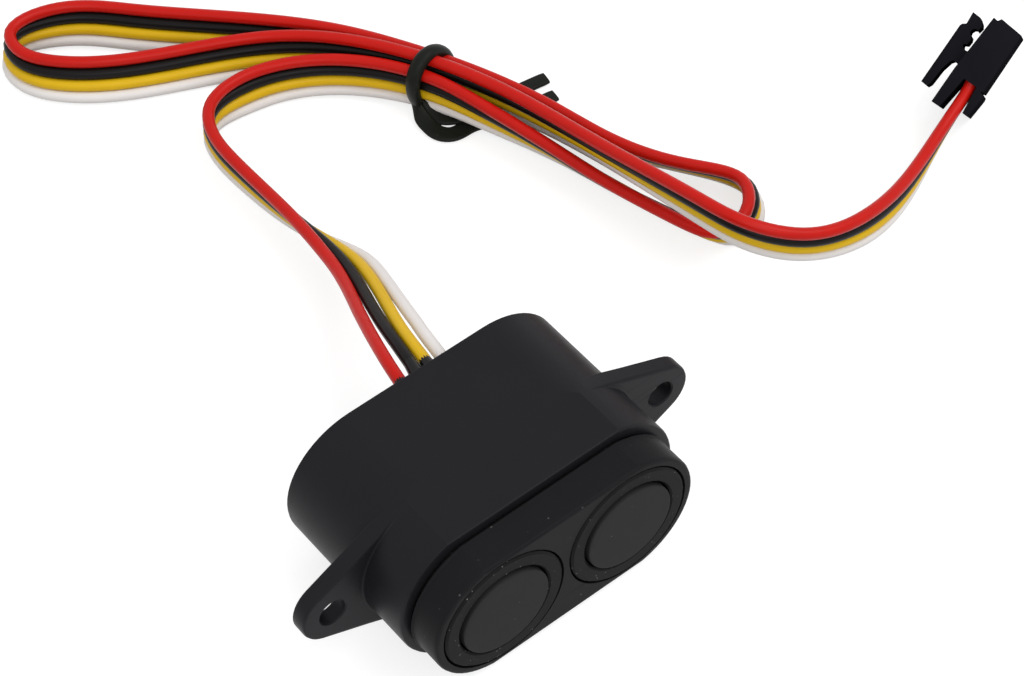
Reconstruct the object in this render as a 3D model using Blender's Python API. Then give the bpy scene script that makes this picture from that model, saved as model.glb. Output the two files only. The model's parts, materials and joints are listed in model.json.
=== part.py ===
"""Ultrasonic distance sensor: an eared housing with two transducers, and a four-wire lead to a plug.

The sensor stands on its lower flat side with its two transducers facing -Y. Its parts are built in the
frame of the empty "body_frame": x to the right, y backwards from the front cap's face, z up from the
transducers' axes. The plug's parts are built in the frame of the empty "plug_frame": x towards the mating
face, y towards the latch, z along the row of wires, with the rear of its solid body at x = 0.
"""

import math

import bmesh
import bpy
import numpy as np

MM = 0.001

# Clearances
GAP = 0.3 * MM  # between two pieces that touch
CUT = 1.0 * MM  # how far a cutter runs past the face it opens

# Transducers and their rubber isolators
CAN_RADIUS = 7.0 * MM
CAN_PROUD = 0.5 * MM
CAN_LENGTH = 9.1 * MM
CAN_FACE = 0.8 * MM
CAN_WALL = 0.6 * MM
CAN_EDGE = 0.25 * MM
ISOLATOR_WIDTH = 2.3 * MM
ISOLATOR_PROUD = 0.2 * MM
ISOLATOR_FLANGE = 4.3 * MM
CAN_BARE = 0.2 * MM  # how far the can stands out behind its isolator
SLEEVE_WALL = 0.8 * MM
ISOLATOR_EDGE = 0.3 * MM
PIEZO_RADIUS = 4.2 * MM
PIEZO_THICKNESS = 0.6 * MM
PAD_RECESS = 1.2 * MM
LEAD_RADIUS = 0.3 * MM
LEAD_OFFSET = 2.5 * MM
LEAD_TAIL = 1.3 * MM  # how far a lead stands out behind the board

# Front cap, with its spigot inside the housing
WELL_WEB = 0.9 * MM  # between the two wells
END_SHIFT = 0.3 * MM  # from a well's axis outwards to the centre of the oval's round end
CAP_WALL = 0.95 * MM
CAP_FLAT = 0.2 * MM  # how much less high the oval is than its round ends are wide
CAP_SHOULDER = 0.8 * MM
CAP_EDGE = 0.5 * MM
LIP_HEIGHT = 0.18 * MM
LIP_WIDTH = 0.5 * MM
SPIGOT_WALL = 0.8 * MM
SPIGOT_LENGTH = 2.8 * MM

# Seal round the spigot
SEAL_WIDTH = 0.6 * MM
SEAL_LENGTH = 1.2 * MM

# Housing: a flat-sided oval tube
CAP_STEP = 1.25 * MM  # how far the housing stands out round the cap
HOUSING_FLAT = 0.5 * MM  # how much less high it is than its round ends are wide, in front of the ears
GROOVE_WIDTH = 0.55 * MM
HOUSING_WALL = 1.45 * MM
FRONT_EDGE = 0.45 * MM
REAR_EDGE = 0.3 * MM
CREASE_ROUNDING = 0.5 * MM  # where the flat side meets the round end, in front of the ears
LEDGE_WIDTH = 0.7 * MM

# Ears
EAR_REACH = 4.95 * MM  # from the housing's round end to the hole's axis
EAR_TIP_RADIUS = 4.75 * MM
EAR_HOLE_RADIUS = 2.05 * MM
EAR_FRONT = 14.0 * MM
EAR_THICKNESS = 2.5 * MM
EAR_EDGE = 0.4 * MM
EAR_REAR_EDGE = 0.15 * MM
EAR_FILLET = 0.35 * MM  # where the ear's front face meets the housing
HOLE_EDGE = 0.2 * MM

# Circuit board and what it carries
BOARD_ROOM = 1.9 * MM  # between the transducers and the tallest part on the board
BOARD_THICKNESS = 1.6 * MM
CORE_RADIUS = 4.0 * MM
CORE_WAIST = 2.5 * MM
CORE_HEIGHT = 6.5 * MM
CORE_FLANGE = 1.2 * MM
CORE_Z = -2.2 * MM
COIL_ROOM = 0.3 * MM  # from the coil to the edge of the core's flanges
CAPACITOR_RADIUS = 2.5 * MM
CAPACITOR_HEIGHT = 6.0 * MM
CAPACITOR_ROOM = 1.7 * MM
CONTROLLER_SIDE = 7.0 * MM
CONTROLLER_Z = -4.6 * MM
RECEIVER_LENGTH = 5.0 * MM
RECEIVER_WIDTH = 4.0 * MM
RECEIVER_Z = -5.4 * MM
CHIP_THICKNESS = 1.4 * MM
CHIP_LEAD_WIDTH = 0.4 * MM
CHIP_LEAD_REACH = 0.9 * MM
CHIP_LEAD_PITCH = 1.27 * MM

# Resin in the rear, with a collar round the wires
RESIN_ROOM = 5.1 * MM  # between the board and the resin
RESIN_DEPTH = 6.7 * MM
RESIN_RECESS = 0.7 * MM
COLLAR_LENGTH = 2.0 * MM
COLLAR_WALL = 0.7 * MM
COLLAR_FOOT = 1.0 * MM  # how much wider the collar is at its foot
COLLAR_ROOM = 0.4 * MM  # round the wires, beyond the usual gap, because they leave at a slant

# Lead: four wires side by side, bonded into a ribbon between two fanned ends
WIRE_RADIUS = 0.8 * MM
RIBBON_PITCH = 1.9 * MM
EXIT_PITCH = 2.3 * MM
EXIT_X = 1.7 * MM
EXIT_DROP = 3.9 * MM  # from the housing's top to the row of wires
EXIT_LEAN = -88  # degrees from upright, so the row lies nearly flat
WIRE_POINTS = 70
BEND_WEIGHT = 9.0 * MM  # how strongly a wire's points gather in its bends
WIRE_NAMES = ("white_wire", "yellow_wire", "black_wire", "red_wire")

# Plug
PLUG_POINT = (102.8, 0.5, 7.6)  # in mm, as the route below
PLUG_HEADING = math.radians(4.7)
PLUG_RISE = math.radians(36.7)
PLUG_ROLL = math.radians(21.5)
PLUG_PITCH = 2.54 * MM
PLUG_WALL = 0.49 * MM
LATCH_WIDTH = 6.4 * MM
CAVITY_Y = -0.5 * MM
CAVITY_SIDE = 2.0 * MM
MATING_WALL = 1.4 * MM
PIN_WINDOW = 1.3 * MM
WIRE_IN_PLUG = 1.5 * MM
FAN_LENGTH = 2.8 * MM  # how far behind the plug the wires have nearly reached its pitch
CRIMP_LENGTH = 1.7 * MM
NECK_LENGTH = 0.7 * MM
CONTACT_DEPTH = 3.2 * MM
CONTACT_WALL = 0.28 * MM

# Twist tie: a loop round the three runs of the ribbon, and its two ends
TIE_POINT = (43.6, 56.6)  # in mm, as the route below
TIE_HEADING = math.radians(11.5)
TIE_REACH = 8.0 * MM  # how far from its middle the loop looks for wires
TIE_WIDTH = 2.3 * MM
TIE_THICKNESS = 0.6 * MM
TIE_POINTS = 40

# The lead's route: points of the ribbon's middle line, in mm: x, y back from the housing's rear edge, z up
# from the table, the lean of the row of wires in degrees, and the wires' spacing. The first point is just
# behind the collar, and the plug is past the last one.
ROUTE = (
    (2.1, 1.9, 19.3, -84, 2.30),
    (4.0, 10.5, 17.2, -81, 2.12),
    (11.0, 32.6, 8.4, -67, 1.90),
    (11.2, 44.0, 5.3, -28, 1.90),
    (10.6, 61.1, 3.9, -7, 1.90),
    (11.5, 69.4, 3.9, 1, 1.90),
    (13.3, 72.6, 3.9, 6, 1.90),
    (20.3, 74.0, 3.9, -11, 1.90),
    (25.4, 72.9, 3.9, -12, 1.90),
    (42.9, 52.9, 4.9, 1, 1.90),
    (45.2, 45.5, 4.9, 11, 1.90),
    (49.5, 31.0, 4.2, 29, 1.90),
    (54.0, 12.7, 3.5, 35, 1.90),
    (55.8, 5.9, 3.5, 35, 1.90),
    (57.2, 1.9, 3.6, 30, 1.90),
    (61.1, 1.4, 3.9, 3, 1.90),
    (65.8, 8.1, 3.6, -27, 1.90),
    (63.0, 17.2, 3.6, -34, 1.90),
    (56.1, 30.1, 4.3, -25, 1.90),
    (53.4, 38.6, 4.7, -18, 1.90),
    (43.1, 63.2, 4.4, 4, 1.90),
    (38.0, 72.4, 3.9, 12, 1.90),
    (15.5, 98.0, 3.6, 29, 1.90),
    (5.5, 106.4, 3.9, 12, 1.90),
    (-1.6, 106.6, 3.9, -12, 1.90),
    (-2.7, 103.8, 3.8, -16, 1.90),
    (0.9, 95.5, 3.7, -26, 1.90),
    (21.0, 82.9, 3.7, -24, 1.90),
    (27.6, 78.8, 4.0, -25, 1.90),
    (38.2, 66.8, 5.6, -8, 1.90),
    (48.4, 44.2, 6.9, 10, 1.90),
    (51.6, 23.5, 9.4, 19, 1.90),
    (53.5, 3.8, 12.2, 10, 1.90),
    (55.0, -2.2, 12.1, 9, 1.90),
    (61.7, -8.6, 9.6, 12, 1.90),
    (72.1, -10.3, 7.2, 5, 1.90),
    (94.3, -2.4, 4.6, 16, 2.15),
)

# The plug's side view, in mm: x towards the mating face, y towards the latch
PLUG_SIDE = (
    (9.9, -2.7), (-0.1, -2.85), (-0.25, -2.45), (-0.5, -3.1), (-1.0, -3.2), (-4.3, -2.95), (-4.3, -2.3),
    (0.0, -2.3), (0.0, 1.75), (-5.4, 1.75), (-5.4, 2.7), (0.6, 2.7), (3.7, 2.5), (9.85, 2.15), (9.6, 1.5),
    (10.0, 0.95),
)
LATCH_SIDE = (
    (3.75, 2.2), (3.6, 3.0), (3.8, 3.6), (4.2, 3.8), (4.5, 3.25), (5.3, 3.2), (5.8, 3.4), (6.0, 3.85),
    (6.4, 4.0), (6.9, 3.8), (7.1, 3.45), (6.9, 3.0), (7.9, 2.8), (8.4, 3.1), (8.9, 3.9), (8.9, 5.3),
    (7.0, 5.15), (6.6, 5.7), (6.2, 5.85), (-3.8, 5.85), (-3.9, 4.8), (-3.3, 4.5), (-0.6, 4.35),
    (1.0, 3.95), (1.45, 3.6), (1.3, 2.2),
)

# The tie's two ends, in mm as the route: x, y, z, and the band's tilt from flat in degrees
TIE_ENDS = (
    (
        (40.0, 56.0, 2.6, 60), (39.5, 54.5, 1.6, 30), (39.4, 52.1, 0.9, 8), (40.8, 49.7, 0.5, 0),
        (43.6, 48.2, 0.45, 0), (47.0, 47.7, 0.45, 0), (52.0, 47.9, 0.45, 0), (59.8, 48.9, 0.45, 0),
    ),
    (
        (40.0, 55.8, 2.2, 60), (40.2, 53.9, 1.9, 50), (40.9, 51.2, 1.5, 35), (42.6, 48.2, 0.8, 8),
        (46.0, 46.0, 0.55, 2), (49.0, 45.2, 0.45, 0), (53.0, 44.9, 0.45, 0), (58.5, 44.9, 0.45, 0),
    ),
)

# What follows from the sizes above, from the transducers outwards
ISOLATOR_RADIUS = CAN_RADIUS + GAP + ISOLATOR_WIDTH
WELL_RADIUS = ISOLATOR_RADIUS + GAP
WELL_SHOULDER = ISOLATOR_FLANGE - ISOLATOR_PROUD + GAP
BORE_RADIUS = CAN_RADIUS + GAP + SLEEVE_WALL + GAP
TRANSDUCER_PITCH = 2 * WELL_RADIUS + WELL_WEB
END_CENTRE = TRANSDUCER_PITCH / 2 + END_SHIFT
CAP_RADIUS = WELL_RADIUS + CAP_WALL
CAP_HALF_HEIGHT = CAP_RADIUS - CAP_FLAT
CAP_DEPTH = WELL_SHOULDER + CAP_SHOULDER
SPIGOT_RADIUS = BORE_RADIUS + SPIGOT_WALL
SPIGOT_HALF_HEIGHT = SPIGOT_RADIUS - CAP_FLAT
SPIGOT_REAR = CAP_DEPTH + SPIGOT_LENGTH
SEAL_RADIUS = SPIGOT_RADIUS + GAP
SEAL_HALF_HEIGHT = SPIGOT_HALF_HEIGHT + GAP
SEAL_FRONT = CAP_DEPTH + GAP
SEAL_REAR = SEAL_FRONT + SEAL_LENGTH
HOUSING_RADIUS = CAP_RADIUS + CAP_STEP
HOUSING_HALF_HEIGHT = HOUSING_RADIUS - HOUSING_FLAT
HOUSING_FRONT = CAP_DEPTH + GROOVE_WIDTH
REAR_CENTRE = END_CENTRE + HOUSING_FLAT
EAR_HOLE_X = END_CENTRE + HOUSING_RADIUS + EAR_REACH
EAR_REAR = EAR_FRONT + EAR_THICKNESS
EAR_TANGENT = math.asin((HOUSING_RADIUS - EAR_TIP_RADIUS) / (EAR_HOLE_X - END_CENTRE))
CAN_REAR = CAN_LENGTH - CAN_PROUD
ISOLATOR_REAR = CAN_REAR - CAN_BARE
DEEPEST_REAR = max(CAN_REAR, SPIGOT_REAR)
BOARD_LEDGE = DEEPEST_REAR + BOARD_ROOM + max(CORE_HEIGHT, CAPACITOR_HEIGHT)
BOARD_FRONT = BOARD_LEDGE + GAP
BOARD_REAR = BOARD_FRONT + BOARD_THICKNESS
COIL_RADIUS = CORE_RADIUS - COIL_ROOM
CAPACITOR_Z = CORE_Z + CORE_RADIUS + CAPACITOR_ROOM + CAPACITOR_RADIUS
RESIN_FRONT = BOARD_REAR + RESIN_ROOM
RESIN_REAR = RESIN_FRONT + RESIN_DEPTH
HOUSING_REAR = RESIN_REAR + RESIN_RECESS
COLLAR_REAR = RESIN_REAR + COLLAR_LENGTH
EXIT_HEIGHT = HOUSING_HALF_HEIGHT - EXIT_DROP
BODY_PLACE = (0, -(COLLAR_REAR - CAN_PROUD) / 2, HOUSING_HALF_HEIGHT)
LEAD_Y = BODY_PLACE[1] + HOUSING_REAR
RIBBON_REST = RIBBON_PITCH / 2  # a wire's centre is never lower, so the ribbon lies on the table
PLUG_WIDTH = 3 * PLUG_PITCH + CAVITY_SIDE + 2 * PLUG_WALL
PLUG_LENGTH = max(x for x, _ in PLUG_SIDE) * MM
CAVITY_DEPTH = PLUG_LENGTH - MATING_WALL


# The scene, its materials and its two frames
def clear_scene():
    for obj in list(bpy.data.objects):
        bpy.data.objects.remove(obj)


def make_material(name, colour, roughness, metallic=0.0):
    material = bpy.data.materials.new(name)
    material.use_nodes = True
    shader = material.node_tree.nodes["Principled BSDF"]
    shader.inputs["Base Color"].default_value = (*colour, 1)
    shader.inputs["Roughness"].default_value = roughness
    shader.inputs["Metallic"].default_value = metallic
    return material


def make_frame(name, place, turn=(0, 0, 0)):
    frame = bpy.data.objects.new(name, None)
    frame.location = place
    frame.rotation_euler = turn
    bpy.context.scene.collection.objects.link(frame)
    return frame


# Meshes from lists of rings
def make_object(name, material, points, faces, parent=None, place=(0, 0, 0), sharp=30):
    """One closed mesh as an object, with its normals turned outwards."""
    mesh = bpy.data.meshes.new(name)
    mesh.from_pydata([tuple(p) for p in points], [], faces)
    work = bmesh.new()
    work.from_mesh(mesh)
    bmesh.ops.remove_doubles(work, verts=work.verts, dist=1e-7)
    bmesh.ops.recalc_face_normals(work, faces=work.faces)
    work.to_mesh(mesh)
    work.free()
    obj = bpy.data.objects.new(name, mesh)
    bpy.context.scene.collection.objects.link(obj)
    obj.parent = parent
    obj.location = place
    if material:
        mesh.materials.append(material)
    mesh.shade_smooth()
    mesh.set_sharp_from_angle(angle=math.radians(sharp))
    return obj


def ring_faces(rings, count, closed=False):
    """Quads between rings of count points, capped at both ends unless closed joins the last to the first."""
    faces = []
    for i in range(rings if closed else rings - 1):
        near, far = i * count, (i + 1) % rings * count
        faces += [(near + j, near + (j + 1) % count, far + (j + 1) % count, far + j) for j in range(count)]
    if not closed:
        faces += [tuple(range(count)), tuple(range((rings - 1) * count, rings * count))]
    return faces


def loft(name, material, rings, parent=None, place=(0, 0, 0), closed=False, sharp=30):
    points = [p for ring in rings for p in ring]
    faces = ring_faces(len(rings), len(rings[0]), closed)
    return make_object(name, material, points, faces, parent, place, sharp)


def turned(name, material, profile, parent=None, place=(0, 0, 0), closed=False, segments=40):
    """A solid turned about its local y axis from (radius, y) pairs."""
    rings = []
    for radius, y in profile:
        angles = [math.tau * k / segments for k in range(segments)]
        rings.append([(radius * math.cos(a), y, radius * math.sin(a)) for a in angles])
    return loft(name, material, rings, parent, place, closed)


def extruded(name, material, outline, low, high, parent=None, place=(0, 0, 0)):
    """A solid from an (x, y) outline between two heights along z."""
    return loft(name, material, [[(x, y, z) for x, y in outline] for z in (low, high)], parent, place)


def box(name, low, high, material=None, parent=None, place=(0, 0, 0)):
    outline = [(low[0], low[1]), (high[0], low[1]), (high[0], high[1]), (low[0], high[1])]
    return extruded(name, material, outline, low[2], high[2], parent, place)


def boolean(obj, other, operation="DIFFERENCE"):
    """Cuts or joins another mesh, which stays in the file as a hidden helper."""
    other.hide_render = True
    other.display_type = "WIRE"
    other.parent = obj.parent
    modifier = obj.modifiers.new(operation.lower(), "BOOLEAN")
    modifier.operation = operation
    modifier.object = other
    modifier.solver = "EXACT"


# The oval outlines of the housing, its cap and what fills it
CREASE_STEPS, SHOULDER_STEPS, FLANK_STEPS, TIP_STEPS = 3, 2, 3, 8
ROOT = CREASE_STEPS + 1 + SHOULDER_STEPS  # how many of a quarter's points come before the ear's root


def quarter_directions(radius, half_height):
    """How far past the end's centre a quarter's crease is centred, and the directions of its points."""
    reach = math.sqrt((radius - CREASE_ROUNDING) ** 2 - (half_height - CREASE_ROUNDING) ** 2)
    meeting = math.atan2(reach, half_height - CREASE_ROUNDING)
    root = max(EAR_TANGENT, meeting + 0.05)
    crease = np.linspace(0, meeting, CREASE_STEPS + 1)
    shoulder = np.linspace(meeting, root, SHOULDER_STEPS + 1)[1:]
    end = np.linspace(root, math.pi / 2, FLANK_STEPS + TIP_STEPS + 1)[1:]
    return reach, crease, (*shoulder, *end)


def quarter_oval(radius, half_height):
    """The upper right quarter of an oval, as (x, z) points from the flat side to the round end's tip."""
    reach, crease, end = quarter_directions(radius, half_height)
    x, z = END_CENTRE + reach, half_height - CREASE_ROUNDING
    points = [(x + CREASE_ROUNDING * math.sin(a), z + CREASE_ROUNDING * math.cos(a)) for a in crease]
    return points + [(END_CENTRE + radius * math.sin(a), radius * math.cos(a)) for a in end]


def quarter_plain(inset):
    """The housing's quarter behind its ears: a half circle as high as the flat sides, with no crease."""
    _, crease, end = quarter_directions(HOUSING_RADIUS, HOUSING_HALF_HEIGHT)
    radius = HOUSING_HALF_HEIGHT - inset
    return [(REAR_CENTRE + radius * math.sin(a), radius * math.cos(a)) for a in (*crease, *end)]


def quarter_flared(spread):
    """The housing's quarter where its round end spreads into the fillet of the ear's front face."""
    points = quarter_oval(HOUSING_RADIUS, HOUSING_HALF_HEIGHT)
    for k in range(ROOT, len(points)):
        x, z = points[k]
        growth = 1 + spread * min(1, (k - ROOT + 1) / FLANK_STEPS) / HOUSING_RADIUS
        points[k] = (END_CENTRE + (x - END_CENTRE) * growth, z * growth)
    return points


def quarter_with_ear(inset, fading):
    """The housing's quarter with the ear on it, its edge drawn in by the inset and its crease faded."""
    creased = quarter_oval(HOUSING_RADIUS, HOUSING_HALF_HEIGHT)[:ROOT]
    plain = quarter_plain(0)[:ROOT]
    points = [tuple(np.array(p) + fading * (np.array(q) - np.array(p))) for p, q in zip(creased, plain)]
    across = np.array((math.sin(EAR_TANGENT), math.cos(EAR_TANGENT)))
    root = np.array((END_CENTRE, 0)) + HOUSING_RADIUS * across
    tip = np.array((EAR_HOLE_X, 0)) + EAR_TIP_RADIUS * across
    for step in range(1, FLANK_STEPS + 1):
        share = step / (FLANK_STEPS + 1)
        points.append(tuple(root + share * (tip - root) - inset * min(1, 2 * share) * across))
    for angle in np.linspace(EAR_TANGENT, math.pi / 2, TIP_STEPS):
        radius = EAR_TIP_RADIUS - inset
        points.append((EAR_HOLE_X + radius * math.sin(angle), radius * math.cos(angle)))
    return points


def whole_ring(quarter, y):
    """The full outline at depth y from its upper right quarter."""
    right = quarter + [(x, -z) for x, z in reversed(quarter[:-1])]
    left = [(-x, z) for x, z in reversed(right)]
    return [(x, y, z) for x, z in right + left]


def oval_ring(radius, half_height, y, inset=0.0):
    return whole_ring(quarter_oval(radius - inset, half_height - inset), y)


# Housing: one moulding with two ears, a seal pocket in front and a ledge for the board
def housing_rings():
    def outer(y, inset=0.0):
        return oval_ring(HOUSING_RADIUS, HOUSING_HALF_HEIGHT, y, inset)

    def ear(y, inset):
        return whole_ring(quarter_with_ear(inset, (y - EAR_FRONT) / EAR_THICKNESS), y)

    def inner(y, wall):
        return oval_ring(HOUSING_RADIUS, HOUSING_HALF_HEIGHT, y, wall)

    def pocket(y):
        return oval_ring(SEAL_RADIUS + SEAL_WIDTH + GAP, SEAL_HALF_HEIGHT + SEAL_WIDTH + GAP, y)

    narrow_wall = HOUSING_WALL + LEDGE_WIDTH
    pocket_rear = SEAL_REAR + GAP
    return [
        outer(HOUSING_FRONT, FRONT_EDGE),
        outer(HOUSING_FRONT + 0.3 * FRONT_EDGE, 0.3 * FRONT_EDGE),
        outer(HOUSING_FRONT + FRONT_EDGE),
        outer(EAR_FRONT - EAR_FILLET),
        whole_ring(quarter_flared(0.3 * EAR_FILLET), EAR_FRONT - 0.3 * EAR_FILLET),
        whole_ring(quarter_flared(EAR_FILLET), EAR_FRONT),
        ear(EAR_FRONT, EAR_EDGE),
        ear(EAR_FRONT + 0.3 * EAR_EDGE, 0.3 * EAR_EDGE),
        ear(EAR_FRONT + EAR_EDGE, 0),
        ear(EAR_REAR - EAR_REAR_EDGE, 0),
        ear(EAR_REAR, EAR_REAR_EDGE),
        whole_ring(quarter_plain(0), EAR_REAR),
        whole_ring(quarter_plain(0), HOUSING_REAR - REAR_EDGE),
        whole_ring(quarter_plain(0.3 * REAR_EDGE), HOUSING_REAR - 0.3 * REAR_EDGE),
        whole_ring(quarter_plain(REAR_EDGE), HOUSING_REAR),
        inner(HOUSING_REAR, HOUSING_WALL),
        inner(BOARD_LEDGE, HOUSING_WALL),
        inner(BOARD_LEDGE, narrow_wall),
        inner(pocket_rear, narrow_wall),
        pocket(pocket_rear),
        pocket(HOUSING_FRONT),
    ]


def build_housing(material, frame):
    housing = loft("housing", material, housing_rings(), frame, closed=True)
    profile = (
        (EAR_HOLE_RADIUS + HOLE_EDGE + CUT, EAR_FRONT - CUT),
        (EAR_HOLE_RADIUS, EAR_FRONT + HOLE_EDGE),
        (EAR_HOLE_RADIUS, EAR_REAR - HOLE_EDGE),
        (EAR_HOLE_RADIUS + HOLE_EDGE + CUT, EAR_REAR + CUT),
    )
    for side in (-1, 1):
        place = (side * EAR_HOLE_X, 0, 0)
        boolean(housing, turned(f"ear_hole_{side}", None, profile, place=place, segments=32))


# Front cap: a stepped well for each transducer, a lip along its rear edge and a spigot behind
def build_cap(material, frame):
    def rim(y, inset):
        return oval_ring(CAP_RADIUS, CAP_HALF_HEIGHT, y, inset)

    rings = [
        rim(0, CAP_EDGE),
        rim(0.3 * CAP_EDGE, 0.3 * CAP_EDGE),
        rim(CAP_EDGE, 0),
        rim(CAP_DEPTH - LIP_WIDTH, 0),
        rim(CAP_DEPTH - LIP_WIDTH + LIP_HEIGHT, -LIP_HEIGHT),
        rim(CAP_DEPTH - LIP_HEIGHT, -LIP_HEIGHT),
        rim(CAP_DEPTH, 0),
        oval_ring(SPIGOT_RADIUS, SPIGOT_HALF_HEIGHT, CAP_DEPTH),
        oval_ring(SPIGOT_RADIUS, SPIGOT_HALF_HEIGHT, SPIGOT_REAR),
    ]
    cap = loft("front_cap", material, rings, frame)
    profile = (
        (WELL_RADIUS, -CUT),
        (WELL_RADIUS, WELL_SHOULDER),
        (BORE_RADIUS, WELL_SHOULDER),
        (BORE_RADIUS, SPIGOT_REAR + CUT),
    )
    for side in (-1, 1):
        place = (side * TRANSDUCER_PITCH / 2, 0, 0)
        boolean(cap, turned(f"well_{side}", None, profile, place=place, segments=48))


def build_seal(material, frame):
    corners = ((0, SEAL_FRONT), (SEAL_WIDTH, SEAL_FRONT), (SEAL_WIDTH, SEAL_REAR), (0, SEAL_REAR))
    rings = [oval_ring(SEAL_RADIUS, SEAL_HALF_HEIGHT, y, -width) for width, y in corners]
    loft("seal", material, rings, frame, closed=True)


# One transducer: its can, disc, pad and leads, and the isolator round it
def build_transducer(side, word, materials, frame):
    place = (side * TRANSDUCER_PITCH / 2, 0, 0)
    front, inside = -CAN_PROUD, CAN_RADIUS - CAN_WALL
    can = (
        (0.001 * MM, front),
        (CAN_RADIUS - CAN_EDGE, front),
        (CAN_RADIUS - 0.3 * CAN_EDGE, front + 0.3 * CAN_EDGE),
        (CAN_RADIUS, front + CAN_EDGE),
        (CAN_RADIUS, CAN_REAR),
        (inside, CAN_REAR),
        (inside, front + CAN_FACE),
        (0.001 * MM, front + CAN_FACE),
    )
    turned(f"{word}_transducer_can", materials["can"], can, frame, place)

    low, high, hollow = -ISOLATOR_PROUD, ISOLATOR_FLANGE - ISOLATOR_PROUD, CAN_RADIUS + GAP
    isolator = (
        (hollow, low + ISOLATOR_EDGE),
        (hollow + ISOLATOR_EDGE, low),
        (ISOLATOR_RADIUS - ISOLATOR_EDGE, low),
        (ISOLATOR_RADIUS, low + ISOLATOR_EDGE),
        (ISOLATOR_RADIUS, high),
        (hollow + SLEEVE_WALL, high),
        (hollow + SLEEVE_WALL, ISOLATOR_REAR),
        (hollow, ISOLATOR_REAR),
    )
    turned(f"{word}_isolator", materials["isolator"], isolator, frame, place, closed=True)

    disc = front + CAN_FACE + GAP
    profile = ((PIEZO_RADIUS, disc), (PIEZO_RADIUS, disc + PIEZO_THICKNESS))
    turned(f"{word}_piezo_disc", materials["piezo"], profile, frame, place, segments=32)

    pad_front, pad_rear = disc + PIEZO_THICKNESS + GAP, CAN_REAR - PAD_RECESS
    profile = ((inside - GAP, pad_front), (inside - GAP, pad_rear))
    pad = turned(f"{word}_damping_pad", materials["pad"], profile, frame, place, segments=32)
    for name, offset in (("inner", -side * LEAD_OFFSET), ("outer", side * LEAD_OFFSET)):
        x = place[0] + offset
        hole = ((LEAD_RADIUS + GAP, pad_front - CUT), (LEAD_RADIUS + GAP, pad_rear + CUT))
        boolean(pad, turned(f"{word}_{name}_pad_hole", None, hole, place=(x, 0, 0), segments=12))
        lead = ((LEAD_RADIUS, pad_front), (LEAD_RADIUS, BOARD_REAR + LEAD_TAIL))
        turned(f"{word}_{name}_lead", materials["lead"], lead, frame, (x, 0, 0), segments=12)


# Circuit board, cut for the transducers' leads
def build_board(material, frame):
    wall = HOUSING_WALL + GAP
    rings = [oval_ring(HOUSING_RADIUS, HOUSING_HALF_HEIGHT, y, wall) for y in (BOARD_FRONT, BOARD_REAR)]
    board = loft("circuit_board", material, rings, frame)
    for side in (-1, 1):
        for offset in (-LEAD_OFFSET, LEAD_OFFSET):
            place = (side * TRANSDUCER_PITCH / 2 + offset, 0, 0)
            hole = ((LEAD_RADIUS + GAP, BOARD_FRONT - CUT), (LEAD_RADIUS + GAP, BOARD_REAR + CUT))
            name = f"board_hole_{side}_{offset:.4f}"
            boolean(board, turned(name, None, hole, place=place, segments=12))


# Parts on the board
def build_transformer(materials, frame):
    rear = BOARD_FRONT - GAP
    front = rear - CORE_HEIGHT
    core = (
        (CORE_RADIUS, front),
        (CORE_RADIUS, front + CORE_FLANGE),
        (CORE_WAIST, front + CORE_FLANGE),
        (CORE_WAIST, rear - CORE_FLANGE),
        (CORE_RADIUS, rear - CORE_FLANGE),
        (CORE_RADIUS, rear),
    )
    place = (0, 0, CORE_Z)
    turned("transformer_core", materials["ferrite"], core, frame, place, segments=32)
    low, high = front + CORE_FLANGE + GAP, rear - CORE_FLANGE - GAP
    coil = ((CORE_WAIST + GAP, low), (COIL_RADIUS, low), (COIL_RADIUS, high), (CORE_WAIST + GAP, high))
    turned("transformer_coil", materials["coil"], coil, frame, place, closed=True, segments=32)


def build_capacitor(material, frame):
    rear = BOARD_FRONT - GAP
    front = rear - CAPACITOR_HEIGHT
    groove = rear - 0.25 * CAPACITOR_HEIGHT
    profile = (
        (CAPACITOR_RADIUS - 0.3 * MM, front),
        (CAPACITOR_RADIUS, front + 0.3 * MM),
        (CAPACITOR_RADIUS, groove - 0.4 * MM),
        (CAPACITOR_RADIUS - 0.25 * MM, groove),
        (CAPACITOR_RADIUS, groove + 0.4 * MM),
        (CAPACITOR_RADIUS, rear),
    )
    turned("supply_capacitor", material, profile, frame, (0, 0, CAPACITOR_Z), segments=28)


def build_chip(name, material, frame, x, z, length, width):
    """A moulded chip with bent leads along its two long sides, lying on the board's rear face."""
    foot = BOARD_REAR + GAP
    low, high = foot + 0.15 * MM, foot + CHIP_THICKNESS
    waist = 0.5 * (low + high)
    half_x, half_z, draft = length / 2, width / 2, 0.12 * MM
    rings = [
        [(-a, y, -b), (a, y, -b), (a, y, b), (-a, y, b)]
        for a, b, y in (
            (half_x - draft, half_z - draft, low),
            (half_x, half_z, waist),
            (half_x - draft, half_z - draft, high),
        )
    ]
    chip = loft(name, material, rings, frame, (x, 0, z))
    count = int((length - CHIP_LEAD_WIDTH) / CHIP_LEAD_PITCH) + 1
    thick, reach = 0.2 * MM, CHIP_LEAD_REACH
    for k in range(count):
        middle = (k - (count - 1) / 2) * CHIP_LEAD_PITCH
        bent = [
            (half_z - 2 * draft, waist), (half_z + 0.4 * reach, waist),
            (half_z + 0.6 * reach, foot + thick), (half_z + reach, foot + thick),
            (half_z + reach, foot), (half_z + 0.45 * reach, foot),
            (half_z + 0.25 * reach, waist - thick), (half_z - 2 * draft, waist - thick),
        ]
        edges = (middle - CHIP_LEAD_WIDTH / 2, middle + CHIP_LEAD_WIDTH / 2)
        for way in (-1, 1):
            rings = [[(edge, y, way * z_out) for z_out, y in bent] for edge in edges]
            boolean(chip, loft(f"{name}_lead_{k}_{way}", None, rings, place=(x, 0, z)), "UNION")


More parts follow.
